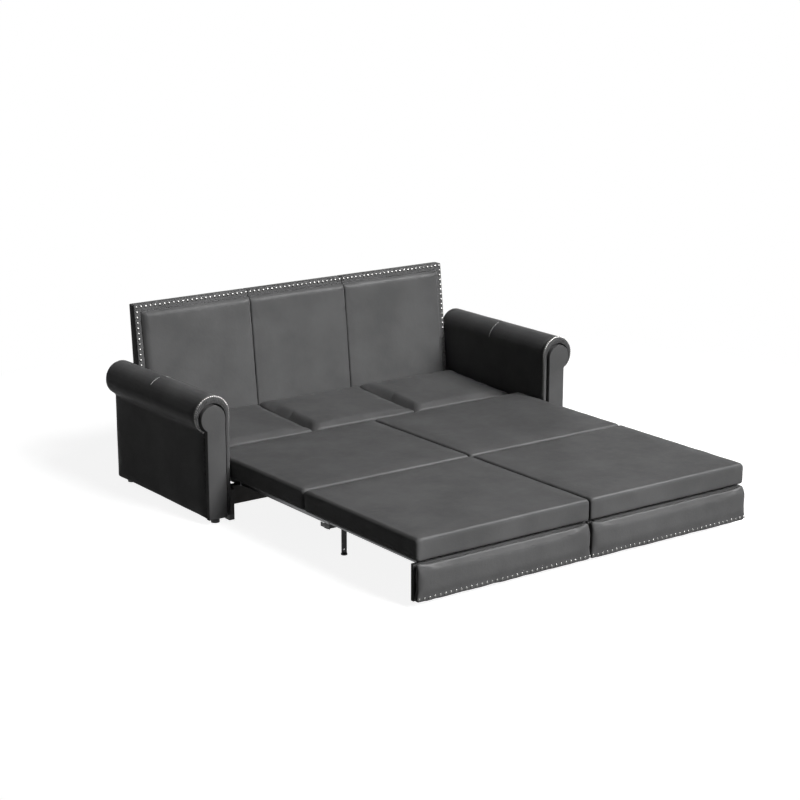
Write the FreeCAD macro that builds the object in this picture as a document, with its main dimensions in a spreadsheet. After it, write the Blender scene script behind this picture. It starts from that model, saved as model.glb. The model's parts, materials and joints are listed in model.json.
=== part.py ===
import FreeCAD, Part
import Sketcher
import math
import os

# Three-seat sofa bed with rolled arms, modelled opened out as a bed.
# X runs along the width, Y from the foot of the bed to the back, Z up from the floor.
# The origin is on the floor, under the middle of the opened sofa bed.

# Driving sizes in millimetres: alias, value, meaning
SIZES = [
    ("open_reach", 1373, "foot of the opened bed ahead of the arm fronts"),
    ("travel", 1320, "how far a pull-out unit runs, twice as far as its stage"),
    ("ground_gap", 25, "height of the base above the floor"),
    ("arm_depth", 857, "length of an arm"),
    ("back_lean", 49, "top of the back behind the arms' rear ends"),
    ("arm_inner", 902, "inner face of an arm from the centre line"),
    ("arm_outer", 1025, "outer face of an arm from the centre line"),
    ("arm_body_top", 418, "top of the arm's side panel, under its roll"),
    ("roll_offset", 988, "centre of an arm roll from the centre line"),
    ("roll_height", 505, "centre of an arm roll above the floor"),
    ("roll_radius", 86, "radius of an arm roll"),
    ("facing_offset", 990, "centre of a facing's round head from the centre line"),
    ("facing_height", 489, "centre of a facing's round head above the floor"),
    ("facing_radius", 61, "radius of a facing's round head"),
    ("facing_inset", 3, "border left outside and below a facing"),
    ("facing_board", 10, "thickness of an arm's facing board"),
    ("soft_gap", 0.3, "clearance round soft pieces"),
    ("side_rail_wall", 27, "thickness of a side rail of the base"),
    ("side_rail_front", 30, "front end of a side rail behind the arm fronts"),
    ("side_rail_gap", 5, "top of a side rail below the bed panels"),
    ("side_rail_slope", 55, "length of the cut-back corner of a side rail"),
    ("side_rail_nose", 42, "height of that corner"),
    ("cross_rail_wall", 30, "thickness of a cross rail"),
    ("cross_rail_front", 60, "front cross rail behind the arm fronts"),
    ("cross_rail_back", 32, "rear cross rail ahead of the arms' rear ends"),
    ("cross_rail_low", 60, "underside of the cross rails"),
    ("cross_rail_edge", 4, "eased edge of the timber rails"),
    ("apron_wall", 19, "thickness of the rear apron"),
    ("shell_low", 190, "underside of the back"),
    ("shell_top", 840, "top of the back"),
    ("shell_wall", 50, "thickness of the back at its top"),
    ("shell_rake", 0.11, "backward lean of the back's face for each unit of height"),
    ("shell_edge", 9, "rounding of the back's edges"),
    ("pad_wall", 22, "thickness of a back pad at its edges"),
    ("pad_crown", 6, "swelling of a back pad"),
    ("pad_border", 30, "border of the back left round the pads"),
    ("third_line", 299, "line between the middle and side thirds from the centre line"),
    ("runner_low", 150, "underside of the fixed runners"),
    ("runner_height", 36, "height of a fixed runner"),
    ("runner_wall", 2.5, "sheet of the runners"),
    ("runner_gap", 0.4, "clearance between nested runners"),
    ("runner_side", 37, "web of an outer fixed runner from the side rail"),
    ("runner_inner", 30, "web of an inner fixed runner from the centre line"),
    ("fixed_lip", 15, "depth of a fixed runner"),
    ("stage_lip", 20, "depth of a stage runner, from the fixed runner's web"),
    ("slide_lip", 24, "depth of a unit's runner, from the fixed runner's web"),
    ("fixed_front", 35, "front end of the fixed runners behind the arm fronts"),
    ("fixed_back", 22, "rear end of the fixed runners ahead of the arms' rear ends"),
    ("runner_stop", 10, "rear ends of the closed runners ahead of the fixed ones' rear ends"),
    ("stage_length", 830, "length of a stage runner"),
    ("tube_side", 25, "side of the square cross tube"),
    ("tube_wall", 2, "wall of the square cross tube"),
    ("tube_setback", 13, "front of the cross tube behind the stage runners' front ends"),
    ("end_plate_wall", 3, "thickness of the cross tube's end plates"),
    ("end_plate_lead", 5, "front of the end plates ahead of the stage runners' front ends"),
    ("end_plate_length", 66, "length of the end plates"),
    ("end_plate_height", 18, "height of the end plates"),
    ("leg_wide", 25, "width of a support leg"),
    ("leg_wall", 5, "thickness of a support leg"),
    ("leg_outer", 750, "outer support leg from the centre line"),
    ("leg_inner", 160, "inner support leg from the centre line"),
    ("leg_hole", 3.5, "radius of a leg's bolt holes"),
    ("leg_hole_low", 23, "height of a leg's lower bolt hole"),
    ("glide_thick", 6, "height of a leg's glide"),
    ("glide_radius", 14, "radius of a leg's glide"),
    ("deck_gap", 0.8, "top of the deck slats below the bed panels"),
    ("slat_wall", 17, "thickness of a deck slat"),
    ("slat_wide", 75, "width of a deck slat"),
    ("slat_count", 6, "slats on each side"),
    ("slat_side", 14, "space between the runners and the slats beside them"),
    ("panel_low", 188, "underside of the bed panels"),
    ("panel_top", 295.5, "top of the bed panels"),
    ("panel_inner", 5.5, "inner side of a bed panel from the centre line"),
    ("panel_side", 14, "outer side of a bed panel inside the arm's inner face"),
    ("crease_reach", 564, "crease between the panels ahead of the arm fronts"),
    ("crease_gap", 1, "distance of each panel from the crease"),
    ("panel_foot", 1359, "front end of the bed ahead of the arm fronts"),
    ("panel_head", 192, "rear end of the middle panels behind the arm fronts"),
    ("panel_edge", 20, "rounding of the panels' upper edges"),
    ("panel_low_edge", 10, "rounding of the panels' lower edges"),
    ("panel_corner", 14, "rounding of the panels' corners in plan"),
    ("board_wall", 15, "thickness of the front panel's board"),
    ("board_inset", 12, "board edge inside the cushion's edge"),
    ("fascia_side", 1, "outer side of a fascia inside the arm's inner face"),
    ("fascia_inner", 2.5, "inner side of a fascia from the centre line"),
    ("fascia_drop", 1, "top of a fascia below the bed panels"),
    ("fascia_pad", 24, "thickness of the padding on a fascia"),
    ("fascia_pad_crown", 5, "swelling of the padding on a fascia"),
    ("fascia_board", 16, "thickness of a fascia board"),
    ("fascia_board_inset", 4, "fascia board edge inside its padding"),
    ("caster_outer", 793, "outer caster from the centre line"),
    ("caster_inner", 109, "inner caster from the centre line"),
    ("caster_radius", 22, "radius of a caster wheel"),
    ("caster_wide", 24, "width of a caster wheel"),
    ("caster_gap", 0.5, "side clearance of a caster wheel"),
    ("caster_throw", 26, "axle behind the fascia board"),
    ("axle_radius", 4, "radius of a caster axle"),
    ("axle_gap", 0.06, "clearance of a caster wheel on its axle"),
    ("fork_wall", 3, "sheet of a caster bracket"),
    ("fork_low", 12, "underside of a caster bracket"),
    ("fork_high", 60, "top of a caster bracket"),
    ("rear_front", 262, "front of the rear cushions behind the arm fronts"),
    ("rear_back", 752, "rear of the rear cushions behind the arm fronts"),
    ("rear_side", 12, "outer side of the rear cushions inside the arm's inner face"),
    ("rear_gap", 2, "half of the space between rear cushions"),
    ("rear_top", 298, "top edge of the rear cushions"),
    ("rear_crown", 16, "swelling of the rear cushions"),
    ("rear_edge", 52, "rounding of the rear cushions"),
    ("rear_bow", 7, "outward bow of the rear cushions' sides"),
    ("corner_round", 34, "rounding of the rear cushions' corners in plan"),
    ("foot_radius", 20, "radius of the base's feet"),
]

DOC = FreeCAD.newDocument("sofa_bed")
SHEET = DOC.addObject("Spreadsheet::Sheet", "Sizes")
for row, (alias, value, meaning) in enumerate(SIZES, start=1):
    SHEET.set(f"A{row}", meaning)
    SHEET.set(f"B{row}", str(value))
    SHEET.setAlias(f"B{row}", alias)
DOC.recompute()

SIDES = (("left", -1), ("right", 1))
RAILS = ("front", "middle", "rear")
RUNNER_OUTER = "(Sizes.arm_inner - Sizes.side_rail_wall - Sizes.runner_side)"
RUNNER_INNER = "Sizes.runner_inner"
FIXED_REAR = "(Sizes.arm_depth - Sizes.fixed_back)"
STAGE_REAR = f"({FIXED_REAR} - Sizes.runner_stop - Sizes.travel / 2)"
STAGE_FRONT = f"({STAGE_REAR} - Sizes.stage_length)"
UNIT_REAR = f"({FIXED_REAR} - Sizes.runner_stop - Sizes.travel)"
DECK_TOP = "(Sizes.panel_low - Sizes.deck_gap)"
PANEL_OUTER = "(Sizes.arm_inner - Sizes.panel_side)"
FASCIA_OUTER = "(Sizes.arm_inner - Sizes.fascia_side)"
FASCIA_TOP = "(Sizes.panel_low - Sizes.fascia_drop)"
NODES = []


def num(expression):
    """The present value of an expression in the sheet's sizes."""
    return float(SHEET.evalExpression(expression))


def along(expression):
    """Y of a point that lies this far behind the arm fronts."""
    return f"(Sizes.open_reach - Sizes.arm_depth - Sizes.back_lean) / 2 + ({expression})"


def across(sign, inner, outer):
    """Low and high X of a piece that spans two distances from the centre line."""
    if sign > 0:
        return inner, outer
    return f"-({outer})", f"-({inner})"


def keep(piece, label):
    """Name a finished sub-part and list it as a node."""
    piece.Label = label
    NODES.append(piece)
    return piece


def keep_group(label, parts):
    """Keep like pieces of one body as one node of separate solids."""
    group = DOC.addObject("Part::Compound", label)
    group.Links = parts
    keep(group, label)


# Sketch helpers

PLANES = {"XY": ("XY_Plane", 1), "XZ": ("XZ_Plane", -1), "YZ": ("YZ_Plane", 1)}


def pin(sketch, element, end, right, up):
    """Hold one sketch point at two expressions, measured from the sketch's origin."""
    for kind, expression in (("DistanceX", right), ("DistanceY", up)):
        rule = Sketcher.Constraint(kind, -1, 1, element, end, num(expression))
        index = sketch.addConstraint(rule)
        sketch.setExpression(f"Constraints[{index}]", expression)


def draw_polygon(sketch, corners):
    """Closed outline through corners, each a pair of expressions."""
    first = sketch.GeometryCount
    points = [FreeCAD.Vector(num(right), num(up), 0) for right, up in corners]
    count = len(points)
    for index in range(count):
        line = Part.LineSegment(points[index], points[(index + 1) % count])
        sketch.addGeometry(line, False)
    for index in range(count):
        following = first + (index + 1) % count
        sketch.addConstraint(Sketcher.Constraint("Coincident", first + index, 2, following, 1))
    for index, (right, up) in enumerate(corners):
        pin(sketch, first + index, 1, right, up)


def draw_circle(sketch, right, up, radius):
    """Circle with its centre and radius held by expressions."""
    centre = FreeCAD.Vector(num(right), num(up), 0)
    index = sketch.addGeometry(Part.Circle(centre, FreeCAD.Vector(0, 0, 1), num(radius)), False)
    pin(sketch, index, 3, right, up)
    rule = sketch.addConstraint(Sketcher.Constraint("Radius", index, num(radius)))
    sketch.setExpression(f"Constraints[{rule}]", radius)


def draw_keyhole(sketch, sign, outer, base, centre, height, radius):
    """Arm outline: a straight base and outer side, a round head, and an inner side tangent to it."""
    outer_x = sign * num(outer)
    base_z = num(base)
    centre_x = sign * num(centre)
    centre_z = num(height)
    size = num(radius)
    inner_x = centre_x - sign * size
    join = centre_z - math.sqrt(size ** 2 - (outer_x - centre_x) ** 2)
    turn = math.atan2(join - centre_z, sign * (outer_x - centre_x))
    circle = Part.Circle(FreeCAD.Vector(centre_x, centre_z, 0), FreeCAD.Vector(0, 0, 1), size)
    inner_foot = FreeCAD.Vector(inner_x, base_z, 0)
    outer_foot = FreeCAD.Vector(outer_x, base_z, 0)
    outer_join = FreeCAD.Vector(outer_x, join, 0)
    inner_join = FreeCAD.Vector(inner_x, centre_z, 0)
    if sign > 0:
        arc = Part.ArcOfCircle(circle, turn, math.pi)
    else:
        arc = Part.ArcOfCircle(circle, 0, math.pi - turn)
    outer_end = 1 if sign > 0 else 2
    sketch.addGeometry(Part.LineSegment(inner_foot, outer_foot), False)
    sketch.addGeometry(Part.LineSegment(outer_foot, outer_join), False)
    sketch.addGeometry(arc, False)
    sketch.addGeometry(Part.LineSegment(inner_join, inner_foot), False)
    sketch.addConstraint(Sketcher.Constraint("Coincident", 0, 2, 1, 1))
    sketch.addConstraint(Sketcher.Constraint("Coincident", 1, 2, 2, outer_end))
    sketch.addConstraint(Sketcher.Constraint("Tangent", 2, 3 - outer_end, 3, 1))
    sketch.addConstraint(Sketcher.Constraint("Coincident", 3, 2, 0, 1))
    sketch.addConstraint(Sketcher.Constraint("Horizontal", 0))
    sketch.addConstraint(Sketcher.Constraint("Vertical", 1))
    sketch.addConstraint(Sketcher.Constraint("Vertical", 3))
    pin(sketch, 1, 1, f"{sign} * ({outer})", base)
    pin(sketch, 2, 3, f"{sign} * ({centre})", height)
    rule = sketch.addConstraint(Sketcher.Constraint("Radius", 2, size))
    sketch.setExpression(f"Constraints[{rule}]", radius)


def new_sketch(body, name, plane, offset):
    """Sketch on one of the body's own origin planes, moved along the plane's axis."""
    role, sign = PLANES[plane]
    sketch = body.newObject("Sketcher::SketchObject", name)
    support = [feature for feature in body.Origin.OriginFeatures if feature.Role == role][0]
    sketch.AttachmentSupport = (support, [""])
    sketch.MapMode = "FlatFace"
    sketch.setExpression("AttachmentOffset.Base.z", f"{sign} * ({offset})")
    return sketch


def add_pad(body, name, plane, draw, low, high):
    """Extrude an outline from one place to another along the plane's axis."""
    sketch = new_sketch(body, name + "_outline", plane, low)
    draw(sketch)
    pad = body.newObject("PartDesign::Pad", name + "_pad")
    pad.Profile = sketch
    pad.Reversed = PLANES[plane][1] < 0
    pad.setExpression("Length", f"({high}) - ({low})")
    body.Tip = pad
    return pad


def cut_pocket(body, name, plane, draw, low, high):
    """Cut an outline out of the body between two places along the plane's axis."""
    before = body.Shape.Volume
    sketch = new_sketch(body, name + "_outline", plane, low)
    draw(sketch)
    pocket = body.newObject("PartDesign::Pocket", name + "_pocket")
    pocket.Profile = sketch
    pocket.Reversed = PLANES[plane][1] > 0
    pocket.setExpression("Length", f"({high}) - ({low})")
    body.Tip = pocket
    DOC.recompute()
    if body.Shape.Volume >= before:
        raise RuntimeError(name + " cut nothing")
    return pocket


def profile_body(label, plane, draw, low, high):
    """Body made of one extruded outline."""
    body = DOC.addObject("PartDesign::Body", label)
    add_pad(body, label, plane, draw, low, high)
    return keep(body, label)


def round_edges(body, name, wanted, radius):
    """Round the edges of the body for which wanted(edge) holds."""
    DOC.recompute()
    tip = body.Tip
    edges = [f"Edge{index}" for index, edge in enumerate(tip.Shape.Edges, 1) if wanted(edge)]
    fillet = body.newObject("PartDesign::Fillet", name + "_fillet")
    fillet.Base = (tip, edges)
    fillet.setExpression("Radius", radius)
    body.Tip = fillet
    return fillet


def runs_along(axis):
    """Test for straight edges parallel to an axis."""
    def wanted(edge):
        if len(edge.Vertexes) < 2 or edge.Curve.TypeId != "Part::GeomLine":
            return False
        return abs(abs(edge.tangentAt(edge.FirstParameter).dot(axis)) - 1) < 1e-6
    return wanted


def rectangle(low, high, bottom, top):
    """Corners of a rectangle from four expressions."""
    return [(low, bottom), (high, bottom), (high, top), (low, top)]


ALONG_X = FreeCAD.Vector(1, 0, 0)
ALONG_Y = FreeCAD.Vector(0, 1, 0)
ALONG_Z = FreeCAD.Vector(0, 0, 1)


def draw_corners(corners):
    """Drawing function of a polygon."""
    return lambda sketch: draw_polygon(sketch, corners)


# Soft forms

def side_edge(start, swell, finish):
    """Side of an outline: an arc through its swell, or a line where it has none."""
    if (swell - start).cross(finish - start).Length < 1e-6:
        return Part.LineSegment(start, finish).toShape()
    return Part.Arc(start, swell, finish).toShape()


def plan_outline(width, depth, corner, bow):
    """Cushion outline seen from above: four sides that may bow outwards, four round corners."""
    half_w = width / 2 - bow
    half_d = depth / 2 - bow
    reach = corner * (1 - math.sqrt(0.5))
    edges = []
    for x_sign, y_sign, turned in ((1, 1, False), (-1, 1, True), (-1, -1, False), (1, -1, True)):
        side_end = FreeCAD.Vector(x_sign * half_w, y_sign * (half_d - corner), 0)
        end_end = FreeCAD.Vector(x_sign * (half_w - corner), y_sign * half_d, 0)
        middle = FreeCAD.Vector(x_sign * (half_w - reach), y_sign * (half_d - reach), 0)
        start, finish = (end_end, side_end) if turned else (side_end, end_end)
        edges.append(Part.Arc(start, middle, finish).toShape())
        if turned:
            swell = FreeCAD.Vector(x_sign * (half_w + bow), 0, 0)
            target = FreeCAD.Vector(x_sign * half_w, -y_sign * (half_d - corner), 0)
        else:
            swell = FreeCAD.Vector(0, y_sign * (half_d + bow), 0)
            target = FreeCAD.Vector(-x_sign * (half_w - corner), y_sign * half_d, 0)
        edges.append(side_edge(finish, swell, target))
    return Part.Wire(edges)


def ring(width, depth, inset, height):
    """Corners of a level rectangle drawn in by an inset on every side."""
    half_w = width / 2 - inset
    half_d = depth / 2 - inset
    signs = ((1, 1), (-1, 1), (-1, -1), (1, -1))
    return [FreeCAD.Vector(x_sign * half_w, y_sign * half_d, height) for x_sign, y_sign in signs]


def flat_face(points):
    """Flat face between points."""
    return Part.Face(Part.makePolygon(points + [points[0]]))


def pillow(width, depth, thick, low_edge, high_edge, crown, corner, bow):
    """Cushion on its flat underside: turned-in edges, a low crown, and its outline from above."""
    reach = min(width, depth) / 2 - high_edge
    levels = [(low_edge, 0), (0, low_edge), (0, thick - high_edge)]
    levels += [(0.3 * high_edge, thick - 0.3 * high_edge), (high_edge, thick)]
    if crown:
        levels += [(high_edge + reach * share, thick + crown * swell)
                   for share, swell in ((0.25, 0.7), (0.7, 1.0))]
    rings = [ring(width, depth, inset, height) for inset, height in levels]
    faces = [flat_face(rings[0]), flat_face(rings[-1])]
    for lower, upper in zip(rings, rings[1:]):
        for index in range(4):
            following = (index + 1) % 4
            faces.append(flat_face([lower[index], lower[following], upper[following],
                                    upper[index]]))
    stack = Part.Solid(Part.Shell(faces))
    outline = Part.Face(plan_outline(width, depth, corner, bow))
    column = outline.extrude(FreeCAD.Vector(0, 0, thick + crown))
    return stack.common(column).Solids[0]


def soft_piece(label, solid, x, y, z, turn=0.0):
    """Place a soft solid with its underside's middle at a point, turned about X."""
    piece = DOC.addObject("Part::Feature", label)
    piece.Shape = solid
    piece.Placement = FreeCAD.Placement(
        FreeCAD.Vector(x, y, z), FreeCAD.Rotation(ALONG_X, turn))
    return keep(piece, label)


# Arms

def make_arm(side, sign):
    """Upholstered side panel, padded roll round its top and the flat facing in front."""
    inner, outer = across(sign, "Sizes.arm_inner", "Sizes.arm_outer")
    corners = rectangle(inner, outer, "Sizes.ground_gap", "Sizes.arm_body_top")
    body = profile_body(side + "_arm_body", "XZ", draw_corners(corners),
                        along("Sizes.facing_board"), along("Sizes.arm_depth"))
    round_edges(body, side + "_arm_body", runs_along(ALONG_Y), "Sizes.cross_rail_edge")

    def draw_roll(sketch):
        draw_keyhole(sketch, sign, "Sizes.arm_outer", "Sizes.arm_body_top + Sizes.soft_gap",
                     "Sizes.roll_offset", "Sizes.roll_height", "Sizes.roll_radius")

    profile_body(side + "_arm_roll", "XZ", draw_roll,
                 along("Sizes.facing_board"), along("Sizes.arm_depth"))

    def draw_facing(sketch):
        draw_keyhole(sketch, sign, "Sizes.arm_outer - Sizes.facing_inset",
                     "Sizes.ground_gap + Sizes.facing_inset", "Sizes.facing_offset",
                     "Sizes.facing_height", "Sizes.facing_radius")

    profile_body(side + "_arm_facing", "XZ", draw_facing, along("0"), along("Sizes.facing_board"))


# Base

def make_side_rail(side, sign):
    """Timber rail inside an arm with its upper front corner cut back."""
    front = along("Sizes.side_rail_front")
    back = along("Sizes.arm_depth - Sizes.apron_wall")
    corners = [
        (front, "Sizes.ground_gap"),
        (back, "Sizes.ground_gap"),
        (back, "(Sizes.panel_low - Sizes.side_rail_gap)"),
        (along("Sizes.side_rail_front + Sizes.side_rail_slope"), "(Sizes.panel_low - Sizes.side_rail_gap)"),
        (front, "(Sizes.panel_low - Sizes.side_rail_gap) - Sizes.side_rail_nose"),
    ]
    low, high = across(sign, "Sizes.arm_inner - Sizes.side_rail_wall", "Sizes.arm_inner")
    profile_body(side + "_side_rail", "YZ", draw_corners(corners), low, high)


def rail_front(name):
    """Y of a cross rail's front face behind the arm fronts, as an expression."""
    front = "Sizes.cross_rail_front"
    back = "(Sizes.arm_depth - Sizes.cross_rail_back - Sizes.cross_rail_wall)"
    places = {"front": front, "middle": f"({front} + {back}) / 2", "rear": back}
    return places[name]


def make_cross_rail(name):
    """Timber rail across the base with eased long edges, which carries the runners."""
    label = name + "_cross_rail"
    front = rail_front(name)
    corners = rectangle(along(front), along(f"{front} + Sizes.cross_rail_wall"),
                        "Sizes.cross_rail_low", "Sizes.runner_low")
    reach = "Sizes.arm_inner - Sizes.side_rail_wall"
    body = profile_body(label, "YZ", draw_corners(corners), f"-({reach})", reach)
    round_edges(body, label, runs_along(ALONG_X), "Sizes.cross_rail_edge")


def make_apron():
    """Board that closes the base at the rear, under the back."""
    corners = rectangle("-Sizes.arm_inner", "Sizes.arm_inner", "Sizes.ground_gap",
                        "Sizes.shell_low")
    profile_body("rear_apron", "XZ", draw_corners(corners),
                 along("Sizes.arm_depth - Sizes.apron_wall"), along("Sizes.arm_depth"))


def make_feet():
    """Short round feet under the arms, square ones under the side rails and cross rails."""
    feet = []
    arm_x = "(Sizes.arm_inner + Sizes.arm_outer) / 2"
    front_y = along("Sizes.facing_board + 2 * Sizes.foot_radius")
    rear_y = along("Sizes.arm_depth - 2 * Sizes.foot_radius")
    for side, sign in SIDES:
        for name, y in (("front", front_y), ("rear", rear_y)):
            foot = DOC.addObject("Part::Cylinder", f"{side}_{name}_foot")
            foot.setExpression("Radius", "Sizes.foot_radius")
            foot.setExpression("Height", "Sizes.ground_gap")
            foot.setExpression("Placement.Base.x", f"{sign} * {arm_x}")
            foot.setExpression("Placement.Base.y", y)
            feet.append(foot)
        low, high = across(sign, "Sizes.arm_inner - Sizes.side_rail_wall", "Sizes.arm_inner")
        start = "Sizes.side_rail_front"
        feet.append(block(f"{side}_rail_foot", low, high, along(start),
                          along(f"{start} + 2 * Sizes.foot_radius"), "0", "Sizes.ground_gap"))
    for name in RAILS:
        front = rail_front(name)
        feet.append(block(f"{name}_rail_foot", "-Sizes.foot_radius", "Sizes.foot_radius",
                          along(front), along(f"{front} + Sizes.cross_rail_wall"), "0",
                          "Sizes.cross_rail_low"))
    keep_group("base_feet", feet)


def slat_span():
    """Inner and outer edge of a side's slats from the centre line."""
    inner = "(Sizes.runner_inner + Sizes.slide_lip + Sizes.slat_side)"
    outer = f"({RUNNER_OUTER} - Sizes.slide_lip - Sizes.slat_side)"
    return inner, outer


def make_deck(side, sign):
    """Slats from front to rear on three bearers that stand on the cross rails."""
    count = int(num("Sizes.slat_count"))
    parts = []
    first, last = slat_span()
    pitch = f"({last} - {first} - Sizes.slat_wide) / {count - 1}"
    front = along(rail_front("front"))
    back = along(f"{rail_front('rear')} + Sizes.cross_rail_wall")
    for index in range(count):
        inner = f"{first} + {index} * {pitch}"
        low, high = across(sign, inner, f"{inner} + Sizes.slat_wide")
        slat = block(f"{side}_slat_{index}", low, high, front, back,
                     f"{DECK_TOP} - Sizes.slat_wall", DECK_TOP)
        parts.append(slat)
    keep_group(side + "_deck_slats", parts)


def make_bearers():
    """Battens between the runners that carry the slats."""
    parts = []
    for side, sign in SIDES:
        low, high = across(sign, *slat_span())
        for name in RAILS:
            start = rail_front(name)
            piece = block(f"{side}_{name}_bearer", low, high, along(start),
                          along(f"{start} + Sizes.cross_rail_wall"),
                          "Sizes.runner_low", f"{DECK_TOP} - Sizes.slat_wall")
            parts.append(piece)
    keep_group("deck_bearers", parts)


def block(name, low_x, high_x, low_y, high_y, low_z, high_z):
    """Plain rectangular block between six expressions."""
    piece = DOC.addObject("Part::Box", name)
    piece.setExpression("Length", f"({high_x}) - ({low_x})")
    piece.setExpression("Width", f"({high_y}) - ({low_y})")
    piece.setExpression("Height", f"({high_z}) - ({low_z})")
    piece.setExpression("Placement.Base.x", low_x)
    piece.setExpression("Placement.Base.y", low_y)
    piece.setExpression("Placement.Base.z", low_z)
    return piece


# Back

def shell_face(height):
    """Y of the back's face at a height."""
    lean = f"Sizes.shell_rake * (Sizes.shell_top - ({height}))"
    return along(f"Sizes.arm_depth + Sizes.back_lean - Sizes.shell_wall - {lean}")


def make_back():
    """Raked back between the arms, thicker towards its foot, with rounded edges."""
    corners = [
        (shell_face("Sizes.shell_low"), "Sizes.shell_low"),
        (along("Sizes.arm_depth"), "Sizes.shell_low"),
        (along("Sizes.arm_depth + Sizes.back_lean"), "Sizes.shell_top"),
        (shell_face("Sizes.shell_top"), "Sizes.shell_top"),
    ]
    low = "-(Sizes.arm_inner - Sizes.soft_gap)"
    body = profile_body("back_shell", "YZ", draw_corners(corners), low, f"-({low})")

    def at_rim(edge):
        centre = edge.CenterOfMass
        top = num("Sizes.shell_top")
        return centre.z > top - 1 or abs(abs(centre.x) - num("Sizes.arm_inner")) < 1

    round_edges(body, "back_shell", lambda edge: at_rim(edge) and edge.CenterOfMass.z >
                num("Sizes.shell_low") + 1, "Sizes.shell_edge")


def make_back_pad(label, low, high):
    """One padded third of the back, seated on the raked face."""
    rake = math.atan(num("Sizes.shell_rake"))
    gap = num("Sizes.soft_gap")
    foot = num("Sizes.shell_low") + gap
    tall = (num("Sizes.shell_top") - num("Sizes.pad_border") - foot) / math.cos(rake)
    wide = num(high) - num(low) - 2 * gap
    edge = num("Sizes.pad_wall") * 0.8
    solid = pillow(wide, tall, num("Sizes.pad_wall"), edge * 0.1, edge,
                   num("Sizes.pad_crown"), edge, 0)
    middle = foot + tall * math.cos(rake) / 2
    y = num(shell_face(str(middle))) - gap * math.cos(rake)
    z = middle + gap * math.sin(rake)
    soft_piece(label, solid, (num(low) + num(high)) / 2, y, z, 90 - math.degrees(rake))


# Runners

def runner_levels(inset):
    """Low and high Z of a runner nested a number of steps inside the fixed one."""
    step = f"{inset} * (Sizes.runner_wall + Sizes.runner_gap)"
    return f"Sizes.runner_low + {step}", f"Sizes.runner_low + Sizes.runner_height - {step}"


def runner_place(sign, web, toward):
    """Function that gives X at a depth inside a runner, from the fixed runner's web."""
    return lambda depth: f"{sign} * ({web} + {toward} * ({depth}))"


def channel(place, steps, lip):
    """C section with its open side towards the unit."""
    low, high = runner_levels(steps)
    back = f"{steps} * (Sizes.runner_wall + Sizes.runner_gap)"
    return [
        (place(back), low),
        (place(lip), low),
        (place(lip), f"{low} + Sizes.runner_wall"),
        (place(f"{back} + Sizes.runner_wall"), f"{low} + Sizes.runner_wall"),
        (place(f"{back} + Sizes.runner_wall"), f"{high} - Sizes.runner_wall"),
        (place(lip), f"{high} - Sizes.runner_wall"),
        (place(lip), high),
        (place(back), high),
    ]


def slide_bar(place):
    """Bar inside the stage runner with an upright flange that carries the front board."""
    low, high = runner_levels(2)
    back = "2 * (Sizes.runner_wall + Sizes.runner_gap)"
    flange = "Sizes.slide_lip - Sizes.runner_wall"
    return [
        (place(back), low),
        (place("Sizes.slide_lip"), low),
        (place("Sizes.slide_lip"), "Sizes.panel_low"),
        (place(flange), "Sizes.panel_low"),
        (place(flange), high),
        (place(back), high),
    ]


def make_runners(side, sign):
    """Fixed, stage and unit runners at the outer and inner side of one unit."""
    foot = "Sizes.open_reach - Sizes.fascia_pad - Sizes.fascia_board"
    for name, web, toward in (("outer", RUNNER_OUTER, -1), ("inner", RUNNER_INNER, 1)):
        place = runner_place(sign, web, toward)
        profile_body(f"{side}_{name}_fixed_runner", "XZ",
                     draw_corners(channel(place, 0, "Sizes.fixed_lip")),
                     along("Sizes.fixed_front"), along(FIXED_REAR))
        profile_body(f"{side}_{name}_stage_runner", "XZ",
                     draw_corners(channel(place, 1, "Sizes.stage_lip")),
                     along(STAGE_FRONT), along(STAGE_REAR))
        profile_body(f"{side}_{name}_unit_runner", "XZ", draw_corners(slide_bar(place)),
                     along(f"-({foot})"), along(UNIT_REAR))


# Stage

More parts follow.
